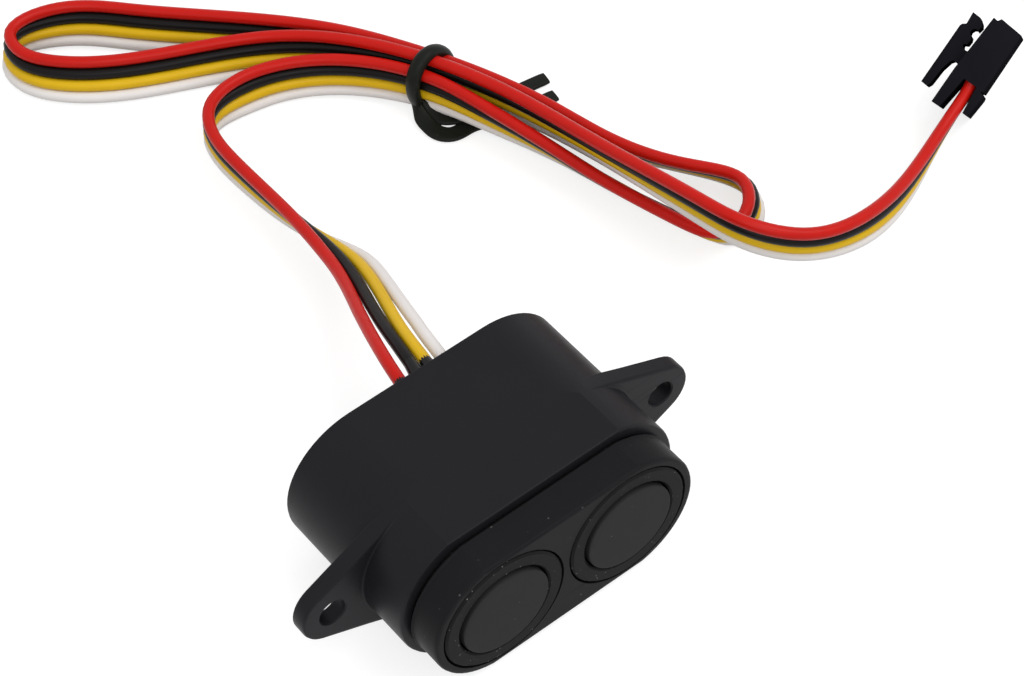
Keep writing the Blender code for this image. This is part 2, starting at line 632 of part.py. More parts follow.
# Resin block: it fills the rear of the housing and rises in a collar round the four wires
def slot_outline(half_length, radius, steps=8):
    """A slot's outline round the wires' row, as (x, z) points about its middle."""
    points = []
    for side in (1, -1):
        for k in range(steps + 1):
            angle = math.pi * k / steps - math.pi / 2
            across = half_length + radius * math.cos(angle)
            points.append((side * across, side * radius * math.sin(angle)))
    return points


def build_resin(material, frame):
    wall = HOUSING_WALL + GAP
    rings = [oval_ring(HOUSING_RADIUS, HOUSING_HALF_HEIGHT, y, wall) for y in (RESIN_FRONT, RESIN_REAR)]
    resin = loft("resin_block", material, rings, frame)
    place = (EXIT_X, 0, EXIT_HEIGHT)
    row = 1.5 * EXIT_PITCH
    passage = WIRE_RADIUS + GAP + COLLAR_ROOM
    outside = passage + COLLAR_WALL
    steps = ((-1.0 * MM, COLLAR_FOOT), (0, COLLAR_FOOT), (0.25 * COLLAR_LENGTH, 0.4 * COLLAR_FOOT),
             (0.6 * COLLAR_LENGTH, 0.1 * COLLAR_FOOT), (COLLAR_LENGTH, 0))
    collar = [
        [(x, RESIN_REAR + y, min(z, EXIT_DROP - wall)) for x, z in slot_outline(row, outside + flare)]
        for y, flare in steps
    ]
    boolean(resin, loft("collar", None, collar, place=place), "UNION")
    ends = (RESIN_FRONT - CUT, COLLAR_REAR + CUT)
    slot = [[(x, y, z) for x, z in slot_outline(row, passage)] for y in ends]
    boolean(resin, loft("wire_passage", None, slot, place=place))


# The lead's path
def smooth_curve(rows, count):
    """Count rows off a natural cubic spline through the given rows, even by their first three columns."""
    rows = np.array(rows, float)
    steps = np.linalg.norm(np.diff(rows[:, :3], axis=0), axis=1)
    at = np.concatenate([[0], np.cumsum(steps)])
    system = np.eye(len(rows))
    right = np.zeros_like(rows)
    slopes = np.diff(rows, axis=0) / steps[:, None]
    for i in range(1, len(rows) - 1):
        system[i, i - 1 : i + 2] = steps[i - 1], 2 * (steps[i - 1] + steps[i]), steps[i]
        right[i] = 6 * (slopes[i] - slopes[i - 1])
    bend = np.linalg.solve(system, right)
    wanted = np.linspace(0, at[-1], count)
    k = np.clip(np.searchsorted(at, wanted, side="right") - 1, 0, len(steps) - 1)
    step = steps[k][:, None]
    after, before = (wanted - at[k])[:, None], (at[k + 1] - wanted)[:, None]
    curve = (bend[k] * before**3 + bend[k + 1] * after**3) / (6 * step)
    curve += (rows[k] / step - bend[k] * step / 6) * before
    curve += (rows[k + 1] / step - bend[k + 1] * step / 6) * after
    return curve


def plug_axes():
    """The plug frame's three axes in the world."""
    sin, cos = math.sin, math.cos
    level = cos(PLUG_RISE)
    along = np.array((level * cos(PLUG_HEADING), level * sin(PLUG_HEADING), sin(PLUG_RISE)))
    raised = np.array((0, 0, 1)) - along[2] * along
    raised /= np.linalg.norm(raised)
    row = cos(PLUG_ROLL) * raised + sin(PLUG_ROLL) * np.cross(along, raised)
    return along, np.cross(row, along), row


def lead_point(x, y, z):
    """A point of the lead in the world, from mm counted as in the route."""
    return (x * MM, LEAD_Y + y * MM, z * MM)


def ribbon_rows():
    """The route's rows in metres, led from the board through the collar and on into the plug."""
    height = BODY_PLACE[2] + EXIT_HEIGHT
    depths = (BOARD_REAR + GAP, RESIN_FRONT, RESIN_REAR - CUT)
    start = [(EXIT_X, BODY_PLACE[1] + depth, height, EXIT_LEAN, EXIT_PITCH) for depth in depths]
    middle = [(*lead_point(x, y, z), lean, pitch * MM) for x, y, z, lean, pitch in ROUTE]
    along, towards_latch, _ = plug_axes()
    lean = math.degrees(PLUG_ROLL)
    end = []
    for x, pitch in ((-FAN_LENGTH, 0.97 * PLUG_PITCH), (-GAP, PLUG_PITCH), (WIRE_IN_PLUG, PLUG_PITCH)):
        point = np.array(lead_point(*PLUG_POINT)) + x * along + CAVITY_Y * towards_latch
        end.append((*point, lean, pitch))
    return start + middle + end


def wire_paths(samples=1200):
    """The four wires' middle lines, from the lowest wire of the row to the highest."""
    rows = smooth_curve(ribbon_rows(), samples)
    middle, lean, pitch = rows[:, :3], np.radians(rows[:, 3:4]), rows[:, 4:5]
    along = np.gradient(middle, axis=0)
    along /= np.linalg.norm(along, axis=1)[:, None]
    raised = np.array((0, 0, 1)) - along[:, 2:] * along
    raised /= np.linalg.norm(raised, axis=1)[:, None]
    across = np.cos(lean) * raised + np.sin(lean) * np.cross(along, raised)
    paths = [middle + (k - 1.5) * pitch * across for k in range(4)]
    for path in paths:
        path[:, 2] = np.maximum(path[:, 2], RIBBON_REST)
    return paths


def thinned(path):
    """A wire's points read off its path, closer together where it bends."""
    steps = np.diff(path, axis=0)
    lengths = np.linalg.norm(steps, axis=1)
    turns = np.linalg.norm(np.diff(steps / lengths[:, None], axis=0), axis=1)
    weight = lengths + BEND_WEIGHT * np.concatenate([turns, turns[-1:]])
    at = np.concatenate([[0], np.cumsum(weight)])
    wanted = np.linspace(0, at[-1], WIRE_POINTS)
    return np.column_stack([np.interp(wanted, at, path[:, k]) for k in range(3)])


def build_wire(name, path, material):
    curve = bpy.data.curves.new(name, "CURVE")
    curve.dimensions = "3D"
    curve.bevel_depth = WIRE_RADIUS
    curve.bevel_resolution = 2
    curve.use_fill_caps = True
    points = thinned(path)
    spline = curve.splines.new("POLY")
    spline.points.add(len(points) - 1)
    for point, place in zip(spline.points, points):
        point.co = (*place, 1)
    curve.materials.append(material)
    bpy.context.scene.collection.objects.link(bpy.data.objects.new(name, curve))


# Plug: one moulding with its latch, and a crimped terminal for each wire
def build_plug(material, frame):
    half = PLUG_WIDTH / 2
    body = [(x * MM, y * MM) for x, y in PLUG_SIDE]
    plug = extruded("plug_housing", material, body, -half, half, frame)
    latch = [(x * MM, y * MM) for x, y in LATCH_SIDE]
    boolean(plug, extruded("latch", None, latch, -LATCH_WIDTH / 2, LATCH_WIDTH / 2), "UNION")
    for k in range(4):
        row = (k - 1.5) * PLUG_PITCH
        for name, side, start, end in (
            ("cavity", CAVITY_SIDE, -CUT, CAVITY_DEPTH),
            ("window", PIN_WINDOW, CAVITY_DEPTH - CUT, PLUG_LENGTH + CUT),
        ):
            low = (start, CAVITY_Y - side / 2, row - side / 2)
            high = (end, CAVITY_Y + side / 2, row + side / 2)
            boolean(plug, box(f"{name}_{k}", low, high))


def build_terminal(k, material, frame):
    """A crimped barrel behind the wire's end, a neck, and a square socket open towards the mating face."""
    barrel = WIRE_IN_PLUG + GAP
    neck = barrel + CRIMP_LENGTH
    socket = neck + NECK_LENGTH
    mouth = CAVITY_DEPTH - GAP
    outside = CAVITY_SIDE / 2 - GAP
    inside = outside - CONTACT_WALL
    rings = []
    for x, half in (
        (barrel, 0.8 * outside), (neck, 0.8 * outside), (neck + 0.2 * MM, 0.55 * outside),
        (socket - 0.2 * MM, 0.55 * outside), (socket, outside), (mouth, outside),
        (mouth, inside), (mouth - CONTACT_DEPTH, inside),
    ):
        rings.append([(x, -half, -half), (x, half, -half), (x, half, half), (x, -half, half)])
    loft(f"terminal_{k + 1}", material, rings, frame, (0, CAVITY_Y, (k - 1.5) * PLUG_PITCH))


# Twist tie
def band_rings(path, width_ways, thick_ways):
    """Rings of a flat band with rounded edges along a path, with its width and thickness directions."""
    half_width, half_thick = TIE_WIDTH / 2, TIE_THICKNESS / 2
    section = [
        (half_width * a, half_thick * b)
        for a, b in ((1, 0.3), (0.8, 1), (-0.8, 1), (-1, 0.3), (-1, -0.3), (-0.8, -1), (0.8, -1), (1, -0.3))
    ]
    return [
        [tuple(point + a * wide + b * thick) for a, b in section]
        for point, wide, thick in zip(path, width_ways, thick_ways)
    ]


def crossings(paths, origin, normal, sideways):
    """Where the wires cross the tie's upright plane, as (sideways, height) pairs."""
    found = []
    for path in paths:
        depth = (path[:, :2] - origin) @ normal
        for i in np.flatnonzero(depth[:-1] * depth[1:] < 0):
            share = depth[i] / (depth[i] - depth[i + 1])
            point = path[i] + share * (path[i + 1] - path[i])
            reach = (point[:2] - origin) @ sideways
            if abs(reach) < TIE_REACH:
                found.append((reach, point[2]))
    return np.array(found)


def loop_round(points, radius):
    """An even loop of TIE_POINTS points held by circles of this radius, with its outward directions."""
    angles = np.linspace(0, math.tau, 240, endpoint=False)
    ways = np.column_stack([np.cos(angles), np.sin(angles)])
    held = points[np.argmax(ways @ points.T, axis=1)] + radius * ways
    around = np.vstack([held, held[:1]])
    at = np.concatenate([[0], np.cumsum(np.linalg.norm(np.diff(around, axis=0), axis=1))])
    wanted = np.linspace(0, at[-1], TIE_POINTS, endpoint=False)
    loop = np.column_stack([np.interp(wanted, at, around[:, k]) for k in range(2)])
    travel = np.roll(loop, -1, axis=0) - np.roll(loop, 1, axis=0)
    travel /= np.linalg.norm(travel, axis=1)[:, None]
    return loop, np.column_stack([travel[:, 1], -travel[:, 0]])


def build_tie(paths, material):
    origin = np.array(lead_point(*TIE_POINT, 0))[:2]
    sideways = np.array((math.cos(TIE_HEADING), math.sin(TIE_HEADING)))
    normal = np.array((-sideways[1], sideways[0]))
    held = crossings(paths, origin, normal, sideways)
    radius = WIRE_RADIUS + GAP + TIE_THICKNESS / 2
    loop, outward = loop_round(held, radius)
    path = [np.array((*(origin + a * sideways), b)) for a, b in loop]
    thick = [np.array((*(a * sideways), b)) for a, b in outward]
    wide = [np.array((*normal, 0))] * len(path)
    tie = loft("twist_tie", material, band_rings(path, wide, thick), closed=True, sharp=50)
    for number, stations in enumerate(TIE_ENDS):
        rows = [(*lead_point(x, y, z), tilt) for x, y, z, tilt in stations]
        curve = smooth_curve(rows, TIE_POINTS // 2)
        along = np.gradient(curve[:, :3], axis=0)
        along[:, 2] = 0
        along /= np.linalg.norm(along, axis=1)[:, None]
        level = np.cross(np.array((0, 0, 1)), along)
        tilt = np.radians(curve[:, 3:4])
        up = np.array((0, 0, 1.0))
        wide = np.cos(tilt) * level + np.sin(tilt) * up
        thick = np.cos(tilt) * up - np.sin(tilt) * level
        strip = loft(f"tie_end_{number}", None, band_rings(curve[:, :3], wide, thick), sharp=50)
        boolean(tie, strip, "UNION")


def main():
    clear_scene()
    black = make_material("housing_plastic", (0.022, 0.022, 0.025), 0.42)
    materials = {
        "can": make_material("can_face", (0.034, 0.034, 0.036), 0.5, 0.2),
        "isolator": make_material("isolator_rubber", (0.028, 0.028, 0.03), 0.6),
        "piezo": make_material("piezo_ceramic", (0.55, 0.52, 0.44), 0.5),
        "pad": make_material("pad_silicone", (0.6, 0.6, 0.58), 0.7),
        "lead": make_material("tinned_lead", (0.6, 0.6, 0.6), 0.3, 1.0),
        "ferrite": make_material("ferrite_core", (0.04, 0.04, 0.04), 0.6),
        "coil": make_material("enamelled_coil", (0.45, 0.14, 0.05), 0.3, 0.9),
    }
    body = make_frame("body_frame", BODY_PLACE)
    build_housing(black, body)
    build_cap(make_material("cap_plastic", (0.022, 0.022, 0.024), 0.45), body)
    build_seal(make_material("seal_rubber", (0.008, 0.008, 0.008), 0.7), body)
    for side, word in ((-1, "left"), (1, "right")):
        build_transducer(side, word, materials, body)
    build_board(make_material("board_laminate", (0.02, 0.12, 0.05), 0.5), body)
    build_transformer(materials, body)
    build_capacitor(make_material("capacitor_can", (0.5, 0.5, 0.52), 0.35, 1.0), body)
    chip = make_material("chip_plastic", (0.02, 0.02, 0.02), 0.5)
    build_chip("controller_chip", chip, body, 0, CONTROLLER_Z, CONTROLLER_SIDE, CONTROLLER_SIDE)
    receiver_x = TRANSDUCER_PITCH / 2
    build_chip("receiver_chip", chip, body, receiver_x, RECEIVER_Z, RECEIVER_LENGTH, RECEIVER_WIDTH)
    build_resin(make_material("potting_resin", (0.01, 0.01, 0.01), 0.3), body)

    paths = wire_paths()
    colours = ((0.78, 0.74, 0.71), (0.74, 0.47, 0.025), (0.015, 0.013, 0.012), (0.5, 0.018, 0.012))
    for name, path, colour in zip(WIRE_NAMES, paths, colours):
        build_wire(name, path, make_material(f"{name}_sleeve", colour, 0.4))
    plug = make_frame("plug_frame", lead_point(*PLUG_POINT), (PLUG_ROLL, -PLUG_RISE, PLUG_HEADING))
    build_plug(make_material("plug_plastic", (0.016, 0.016, 0.018), 0.5), plug)
    tin = make_material("terminal_tin", (0.65, 0.65, 0.62), 0.3, 1.0)
    for k in range(4):
        build_terminal(k, tin, plug)
    build_tie(paths, make_material("tie_plastic", (0.022, 0.024, 0.021), 0.5))


main()
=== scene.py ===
# %% [markdown]
# # An ultrasonic distance sensor
# The sensor is a black oval housing with two round transducers in its front and a screw ear on
# each side. A ribbon of four wires leaves its potted rear, is tied in the middle and ends in a
# small latching plug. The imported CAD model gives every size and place. This script adds what a
# camera would see: the finishes, the soft parts in their full shape, the floor and the light.

import json
import math

import bmesh
import bpy
import numpy as np
from mathutils import Matrix, Vector


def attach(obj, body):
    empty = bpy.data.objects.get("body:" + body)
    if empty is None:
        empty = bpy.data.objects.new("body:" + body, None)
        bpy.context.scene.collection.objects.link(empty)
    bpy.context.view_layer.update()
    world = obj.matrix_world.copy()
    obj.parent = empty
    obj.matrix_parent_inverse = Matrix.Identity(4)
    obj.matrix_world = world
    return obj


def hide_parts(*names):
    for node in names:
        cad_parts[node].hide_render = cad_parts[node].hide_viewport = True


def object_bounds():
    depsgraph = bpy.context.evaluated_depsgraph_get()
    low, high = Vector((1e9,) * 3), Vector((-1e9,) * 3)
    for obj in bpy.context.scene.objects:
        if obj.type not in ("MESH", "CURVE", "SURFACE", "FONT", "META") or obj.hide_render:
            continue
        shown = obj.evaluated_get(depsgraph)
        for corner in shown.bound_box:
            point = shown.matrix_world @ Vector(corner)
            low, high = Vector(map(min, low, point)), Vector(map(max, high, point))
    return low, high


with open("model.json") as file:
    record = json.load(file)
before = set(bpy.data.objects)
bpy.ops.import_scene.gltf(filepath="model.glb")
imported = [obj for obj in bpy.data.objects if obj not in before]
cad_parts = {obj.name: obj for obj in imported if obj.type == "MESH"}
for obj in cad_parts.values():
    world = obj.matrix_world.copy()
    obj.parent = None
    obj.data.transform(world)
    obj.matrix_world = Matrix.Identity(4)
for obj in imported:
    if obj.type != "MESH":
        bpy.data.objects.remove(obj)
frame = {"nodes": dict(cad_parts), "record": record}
cad_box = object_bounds()
MM = 0.001
cad_corners = [tuple(round(v / MM, 1) for v in corner) for corner in cad_box]
print("nodes:", len(frame["nodes"]), "box in mm:", cad_corners)

# %% [markdown]
# ## The camera
# The camera looks down on the sensor's front from its left. Its angles, its distance and its
# focal length were fitted to the edges of the housing, so each piece meets its place in the
# picture. A camera's own axes are right, up and back, and as the columns of a matrix they turn it.

# %% Camera
AZIMUTH, ELEVATION, ROLL = (math.radians(a) for a in (-34.42, 50.65, -4.80))
FOCAL_PIXELS, PICTURE_WIDTH = 2990.42, 1024
SENSOR_WIDTH = 36                             # in mm
NEAR, FAR = 0.01, 20                          # what the camera sees, in metres
OFFSET = Vector((7.77, -37.25, -400.0)) * MM  # the fitted origin, as the camera sees it
FITTED_ORIGIN = Vector((0, -16.1, 0)) * MM    # under the front cap's face


def camera_axes(azimuth, elevation, roll):
    """A matrix whose columns are the camera's right, up and back."""
    right = Vector((math.cos(azimuth), math.sin(azimuth), 0))
    level = math.cos(elevation)
    back = Vector((math.sin(azimuth) * level, -math.cos(azimuth) * level, math.sin(elevation)))
    up = back.cross(right)
    turn = Matrix.Rotation(-roll, 3, "Z")
    return (turn @ Matrix((right, up, back))).transposed()


axes = camera_axes(AZIMUTH, ELEVATION, ROLL)
camera = bpy.data.objects.new("camera", bpy.data.cameras.new("camera"))
bpy.context.scene.collection.objects.link(camera)
camera.matrix_world = Matrix.Translation(FITTED_ORIGIN - axes @ OFFSET) @ axes.to_4x4()
camera.data.sensor_width = SENSOR_WIDTH
camera.data.lens = SENSOR_WIDTH * FOCAL_PIXELS / PICTURE_WIDTH
camera.data.clip_start, camera.data.clip_end = NEAR, FAR
bpy.context.scene.camera = camera
print("camera at", [round(v / MM) for v in camera.location], "lens", round(camera.data.lens, 1))

# %% [markdown]
# ## The route of the lead
# A ribbon is four wires side by side, so one middle line, a lean of the row and a spacing give
# all four. The rows below are that line: x, y and z in mm, with y counted back from the
# housing's rear edge, then the lean in degrees and the spacing. A natural cubic spline joins
# them, because it bends as a springy wire does.

# %% Route of the ribbon
ROUTE = (
    (2.1, 1.9, 19.3, -84, 2.30), (4.0, 10.5, 17.2, -81, 2.12), (11.0, 32.6, 8.4, -67, 1.90),
    (11.2, 44.0, 5.3, -28, 1.90), (10.6, 61.1, 3.9, -7, 1.90), (11.5, 69.4, 3.9, 1, 1.90),
    (13.3, 72.6, 3.9, 6, 1.90), (20.3, 74.0, 3.9, -11, 1.90), (25.4, 72.9, 3.9, -12, 1.90),
    (42.9, 52.9, 4.9, 1, 1.90), (45.2, 45.5, 4.9, 11, 1.90), (49.5, 31.0, 4.2, 29, 1.90),
    (54.0, 12.7, 3.5, 35, 1.90), (55.6, 7.2, 3.5, 35, 1.90), (57.3, 4.2, 3.6, 30, 1.90),
    (61.4, 3.6, 3.9, 3, 1.90), (66.1, 8.8, 3.6, -20, 1.90), (63.0, 17.2, 3.6, -34, 1.90),
    (56.1, 30.1, 4.3, -25, 1.90), (53.4, 38.6, 4.7, -18, 1.90), (43.1, 63.2, 4.4, 4, 1.90),
    (38.0, 72.4, 3.9, 12, 1.90), (15.5, 98.0, 3.6, 29, 1.90), (5.5, 106.4, 3.9, 12, 1.90),
    (-1.6, 106.6, 3.9, -12, 1.90), (-2.7, 103.8, 3.8, -16, 1.90), (0.9, 95.5, 3.7, -26, 1.90),
    (21.0, 82.9, 3.7, -24, 1.90), (27.6, 78.8, 4.0, -25, 1.90), (38.2, 66.8, 5.6, -8, 1.90),
    (48.4, 44.2, 6.9, 10, 1.90), (51.6, 23.5, 9.4, 19, 1.90), (53.5, 3.8, 12.2, 10, 1.90),
    (55.0, -2.2, 12.1, 9, 1.90), (61.7, -8.6, 9.6, 12, 1.90), (72.1, -10.3, 7.2, 5, 1.90),
    (94.3, -2.4, 4.6, 16, 2.15),
)
REAR_Y = 15.3                   # the housing's rear edge, in mm
BOARD_Y, RESIN_Y = 3.1, 7.9     # where the wires start on the board, and the resin's front
EXIT_DEPTH = 1.7                # how far inside the rear edge the wires stop being straight
EXIT_X, EXIT_Z, EXIT_LEAN, EXIT_PITCH = 1.7, 19.3, -88, 2.3
PLUG_POINT = (102.8, 0.5, 7.6)  # the origin of the plug's own axes, counted as in the route
PLUG_HEADING, PLUG_RISE, PLUG_ROLL = (math.radians(a) for a in (4.7, 36.7, 21.5))
PLUG_PITCH, CAVITY_Y = 2.54, -0.5         # its row of wires, and their height in the plug
PLUG_ENTRY, WIRE_IN_PLUG = -0.6, 1.5      # where a wire straightens and ends, along the plug


def plug_axes():
    """The plug's axes: along its mating direction, towards its latch, and along its row."""
    level, rise = math.cos(PLUG_RISE), math.sin(PLUG_RISE)
    along = np.array((level * math.cos(PLUG_HEADING), level * math.sin(PLUG_HEADING), rise))
    raised = np.array((0, 0, 1)) - along[2] * along
    raised /= np.linalg.norm(raised)
    row = math.cos(PLUG_ROLL) * raised + math.sin(PLUG_ROLL) * np.cross(along, raised)
    return along, np.cross(row, along), row


def lead_point(x, y, z):
    """A point of the lead, whose y is counted back from the housing's rear edge."""
    return np.array((x, REAR_Y + y, z))


def ribbon_rows():
    """The route with its two hidden ends: through the resin, and into the plug."""
    hidden = (BOARD_Y, RESIN_Y, REAR_Y - EXIT_DEPTH)
    start = [(EXIT_X, y, EXIT_Z, EXIT_LEAN, EXIT_PITCH) for y in hidden]
    middle = [(*lead_point(x, y, z), lean, pitch) for x, y, z, lean, pitch in ROUTE]
    along, towards_latch, _ = plug_axes()
    end = []
    for x in (PLUG_ENTRY, WIRE_IN_PLUG):
        point = lead_point(*PLUG_POINT) + x * along + CAVITY_Y * towards_latch
        end.append((*point, math.degrees(PLUG_ROLL), PLUG_PITCH))
    return np.array(start + middle + end)


print("rows in the route:", len(ribbon_rows()))

# %% [markdown]
# The spline is solved by hand, because Blender's own curve types either miss their control
# points or bend too sharply at them. Each wire then stands off the middle line by its place in
# the row. Near the housing the ribbon is split, and its wires stray from their places: a table
# says how far, by y. A wire never sinks into the table, so its centre stays at least its radius
# above it.

# %% Middle lines of the wires
WIRE_DIAMETER = 1.9
STRAYED = np.array([  # the part's y, then how far white, yellow, black and red stray in x
    (15.3, 0.00, 0.00, 0.15, -0.10), (20.0, 0.30, 0.15, 0.40, -0.08),
    (24.0, 0.45, 0.15, 0.40, -0.02), (27.0, 0.50, 0.10, 0.28, -0.02),
    (31.0, 0.25, 0.02, 0.02, -0.12), (35.0, -0.05, -0.08, -0.20, -0.26),
    (39.0, -0.25, -0.15, -0.32, -0.28), (43.0, -0.20, -0.18, -0.34, -0.22),
    (48.0, -0.08, -0.10, -0.18, -0.08), (54.0, 0.00, 0.00, 0.00, 0.00),
])
LINE_POINTS, SMOOTHINGS = 1200, 3


def smooth_curve(rows, count):
    """Rows of a natural cubic spline through the given ones, even by their first three columns."""
    rows = np.array(rows, float)
    steps = np.linalg.norm(np.diff(rows[:, :3], axis=0), axis=1)
    at = np.concatenate([[0], np.cumsum(steps)])
    system, right = np.eye(len(rows)), np.zeros_like(rows)
    slopes = np.diff(rows, axis=0) / steps[:, None]
    for i in range(1, len(rows) - 1):
        system[i, i - 1:i + 2] = steps[i - 1], 2 * (steps[i - 1] + steps[i]), steps[i]
        right[i] = 6 * (slopes[i] - slopes[i - 1])
    bend = np.linalg.solve(system, right)
    wanted = np.linspace(0, at[-1], count)
    k = np.clip(np.searchsorted(at, wanted, side="right") - 1, 0, len(steps) - 1)
    step, after, before = (v[:, None] for v in (steps[k], wanted - at[k], at[k + 1] - wanted))
    curve = (bend[k] * before**3 + bend[k + 1] * after**3) / (6 * step)
    curve += (rows[k] / step - bend[k] * step / 6) * before
    return curve + (rows[k + 1] / step - bend[k + 1] * step / 6) * after


def unit(vectors):
    return vectors / np.linalg.norm(vectors, axis=-1, keepdims=True)


def wire_lines():
    """Four middle lines in mm, from the lowest wire of the row to the highest."""
    rows = smooth_curve(ribbon_rows(), LINE_POINTS)
    middle, lean, pitch = rows[:, :3], np.radians(rows[:, 3:4]), rows[:, 4:5]
    along = unit(np.gradient(middle, axis=0))
    raised = unit(np.array((0, 0, 1)) - along[:, 2:] * along)
    across = np.cos(lean) * raised + np.sin(lean) * np.cross(along, raised)
    lines = [middle + (k - 1.5) * pitch * across for k in range(4)]
    for line, strayed in zip(lines, STRAYED.T[1:]):
        # Only the lead's first half strays. Its later runs come back to the same y.
        first_half = np.arange(LINE_POINTS) < LINE_POINTS / 2
        away = np.where(first_half, line[:, 1], STRAYED[-1, 0])
        line[:, 0] += np.interp(away, STRAYED[:, 0], strayed)
        for _ in range(SMOOTHINGS):
            line[1:-1] = (line[:-2] + 2 * line[1:-1] + line[2:]) / 4
        line[:, 2] = np.maximum(line[:, 2], WIRE_DIAMETER / 2)
    return lines


def length_of(line):
    """The length along a line, in mm."""
    return float(np.linalg.norm(np.diff(line, axis=0), axis=1).sum())


lines = wire_lines()
print("wire lengths in mm:", [round(length_of(line), 1) for line in lines])

# %% [markdown]
# ## The four wires
# Each wire is a bevelled curve, which keeps a round section through every bend. Its radius is set
# on the points, with a bevel of 1, because Blender adds the points' radii to a curve's own box.
# Every wire replaces the thinner solid that stands for it in the CAD model.

# %% Wires
WIRES = ("white", "yellow", "black", "red")
WIRE_POINTS, ROUNDNESS = 420, 5


def make_wire(colour, line):
    """A round wire along a line, in place of the CAD model's thin one."""
    curve = bpy.data.curves.new(f"{colour}_lead", "CURVE")
    curve.dimensions = "3D"
    curve.bevel_depth = 1.0
    curve.bevel_resolution = ROUNDNESS
    curve.use_fill_caps = True
    spline = curve.splines.new("POLY")
    spline.points.add(WIRE_POINTS - 1)
    wanted = np.linspace(0, len(line) - 1, WIRE_POINTS)
    centres = np.column_stack([np.interp(wanted, np.arange(len(line)), c) for c in line.T])
    for point, centre in zip(spline.points, centres):
        point.co, point.radius = (*(centre * MM), 1), WIRE_DIAMETER / 2 * MM
    wire = bpy.data.objects.new(f"{colour}_lead", curve)
    bpy.context.scene.collection.objects.link(wire)
    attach(wire, "root")
    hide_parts(f"{colour}_wire")
    return wire


wires = {colour: make_wire(colour, line) for colour, line in zip(WIRES, lines)}
print("wires:", list(wires))

# %% [markdown]
# ## The tie
# A soft rubber-skinned tie holds the folded ribbon. It goes once round all three runs and squeezes
# them a little, its two ends are twisted together low on the left, and they lie on the table under
# the wires. A bent strip like this is a section swept along a line, so three helpers come first:
# one builds a mesh through rings of points, one makes the rounded section, and one carries it
# along a line.

# %% Helpers for swept pieces
def loft(name, rings, closed=False, sharp=50):
    """A mesh through rings of points in mm, capped unless it closes. Sharp is in degrees."""
    count, total = len(rings[0]), len(rings)
    faces = []
    for i in range(total if closed else total - 1):
        near, far = i * count, (i + 1) % total * count
        sides = [(j, (j + 1) % count) for j in range(count)]
        faces += [(near + j, near + k, far + k, far + j) for j, k in sides]
    if not closed:
        faces += [tuple(range(count)), tuple(range((total - 1) * count, total * count))]
    mesh = bpy.data.meshes.new(name)
    points = [tuple(float(c) * MM for c in point) for ring in rings for point in ring]
    mesh.from_pydata(points, [], faces)
    work = bmesh.new()
    work.from_mesh(mesh)
    bmesh.ops.recalc_face_normals(work, faces=work.faces)
    work.to_mesh(mesh)
    work.free()
    mesh.shade_smooth()
    mesh.set_sharp_from_angle(angle=math.radians(sharp))
    piece = bpy.data.objects.new(name, mesh)
    bpy.context.scene.collection.objects.link(piece)
    return piece


def soft_section(half_width, half_thick, fullness, corners=16):
    """A section as pairs, across and through: an oval at fullness 1, and squarer below it."""
    def swell(value):
        return math.copysign(abs(value) ** fullness, value)
    angles = [math.tau * k / corners for k in range(corners)]
    return [(half_width * swell(math.cos(a)), half_thick * swell(math.sin(a))) for a in angles]


def swept(path, wide, thick, sections):
    """Rings of a band: at each point its width and thickness directions and its section."""
    stations = zip(path, wide, thick, sections)
    return [[point + a * w + b * t for a, b in section] for point, w, t, section in stations]


print("a band's section has", len(soft_section(1, 1, 1)), "points")

# %% [markdown]
# The loop is nearly a round cord, thick on top where it is seen and pressed flat below. Its rows
# give its shape in its own upright plane: sideways, height, and half its thickness, in mm. The
# rows are laid three times in a line, and the middle copy of the spline closes without a kink.

# %% Loop of the tie
TIE_POINT, TIE_HEADING = lead_point(43.6, 56.6, 0), math.radians(11.5)
TIE_SIDE = np.array((math.cos(TIE_HEADING), math.sin(TIE_HEADING), 0))
TIE_THROUGH = np.array((-TIE_SIDE[1], TIE_SIDE[0], 0))
UP = np.array((0, 0, 1.0))
TIE_LOOP = (
    (4.1, 6.3, 0.85), (3.3, 8.2, 0.9), (1.95, 9.6, 0.95), (0.3, 10.35, 0.95), (-1.2, 10.25, 0.95),
    (-2.6, 9.3, 0.95), (-3.55, 7.8, 0.95), (-3.9, 6.0, 0.9), (-3.75, 4.0, 0.85), (-3.1, 2.1, 0.7),
    (-1.6, 0.75, 0.5), (0.5, 0.5, 0.45), (2.8, 0.7, 0.45), (4.0, 2.1, 0.6), (4.4, 4.2, 0.75),
)
TIE_HALF_WIDTH, TIE_SKEW = 1.18, 0.08  # its width leans out a little at the loop's corners
TIE_EDGE = 80                          # a crease sharper than this many degrees stays one


def loop_of_tie(stations=110):
    """Rings of the band, once round the ribbon."""
    rows = smooth_curve([(a, b, 0, half) for a, b, half in TIE_LOOP * 3], 3 * stations)
    travel = unit(np.gradient(rows[:, :2], axis=0))
    once = slice(stations, 2 * stations)
    rings = []
    for (a, b, _, half), (go_a, go_b) in zip(rows[once], travel[once]):
        outward = go_b * TIE_SIDE - go_a * UP
        wide = unit(TIE_THROUGH + TIE_SKEW * go_a * go_b * outward)
        section = soft_section(TIE_HALF_WIDTH, half, fullness=0.88)
        middle = TIE_POINT + a * TIE_SIDE + b * UP
        rings.append([middle + w * wide + t * outward for w, t in section])
    return rings


tie = loft("ribbon_tie", loop_of_tie(), closed=True, sharp=TIE_EDGE)
print("tie's loop:", len(tie.data.polygons), "faces")

# %% [markdown]
# The two ends leave the loop where they are twisted together, go down on the left and turn under
# the ribbon. Their rows below give x, y, z and how far the band is tipped from flat. They are
# joined to the loop as one piece, because they are the same strip of rubber.

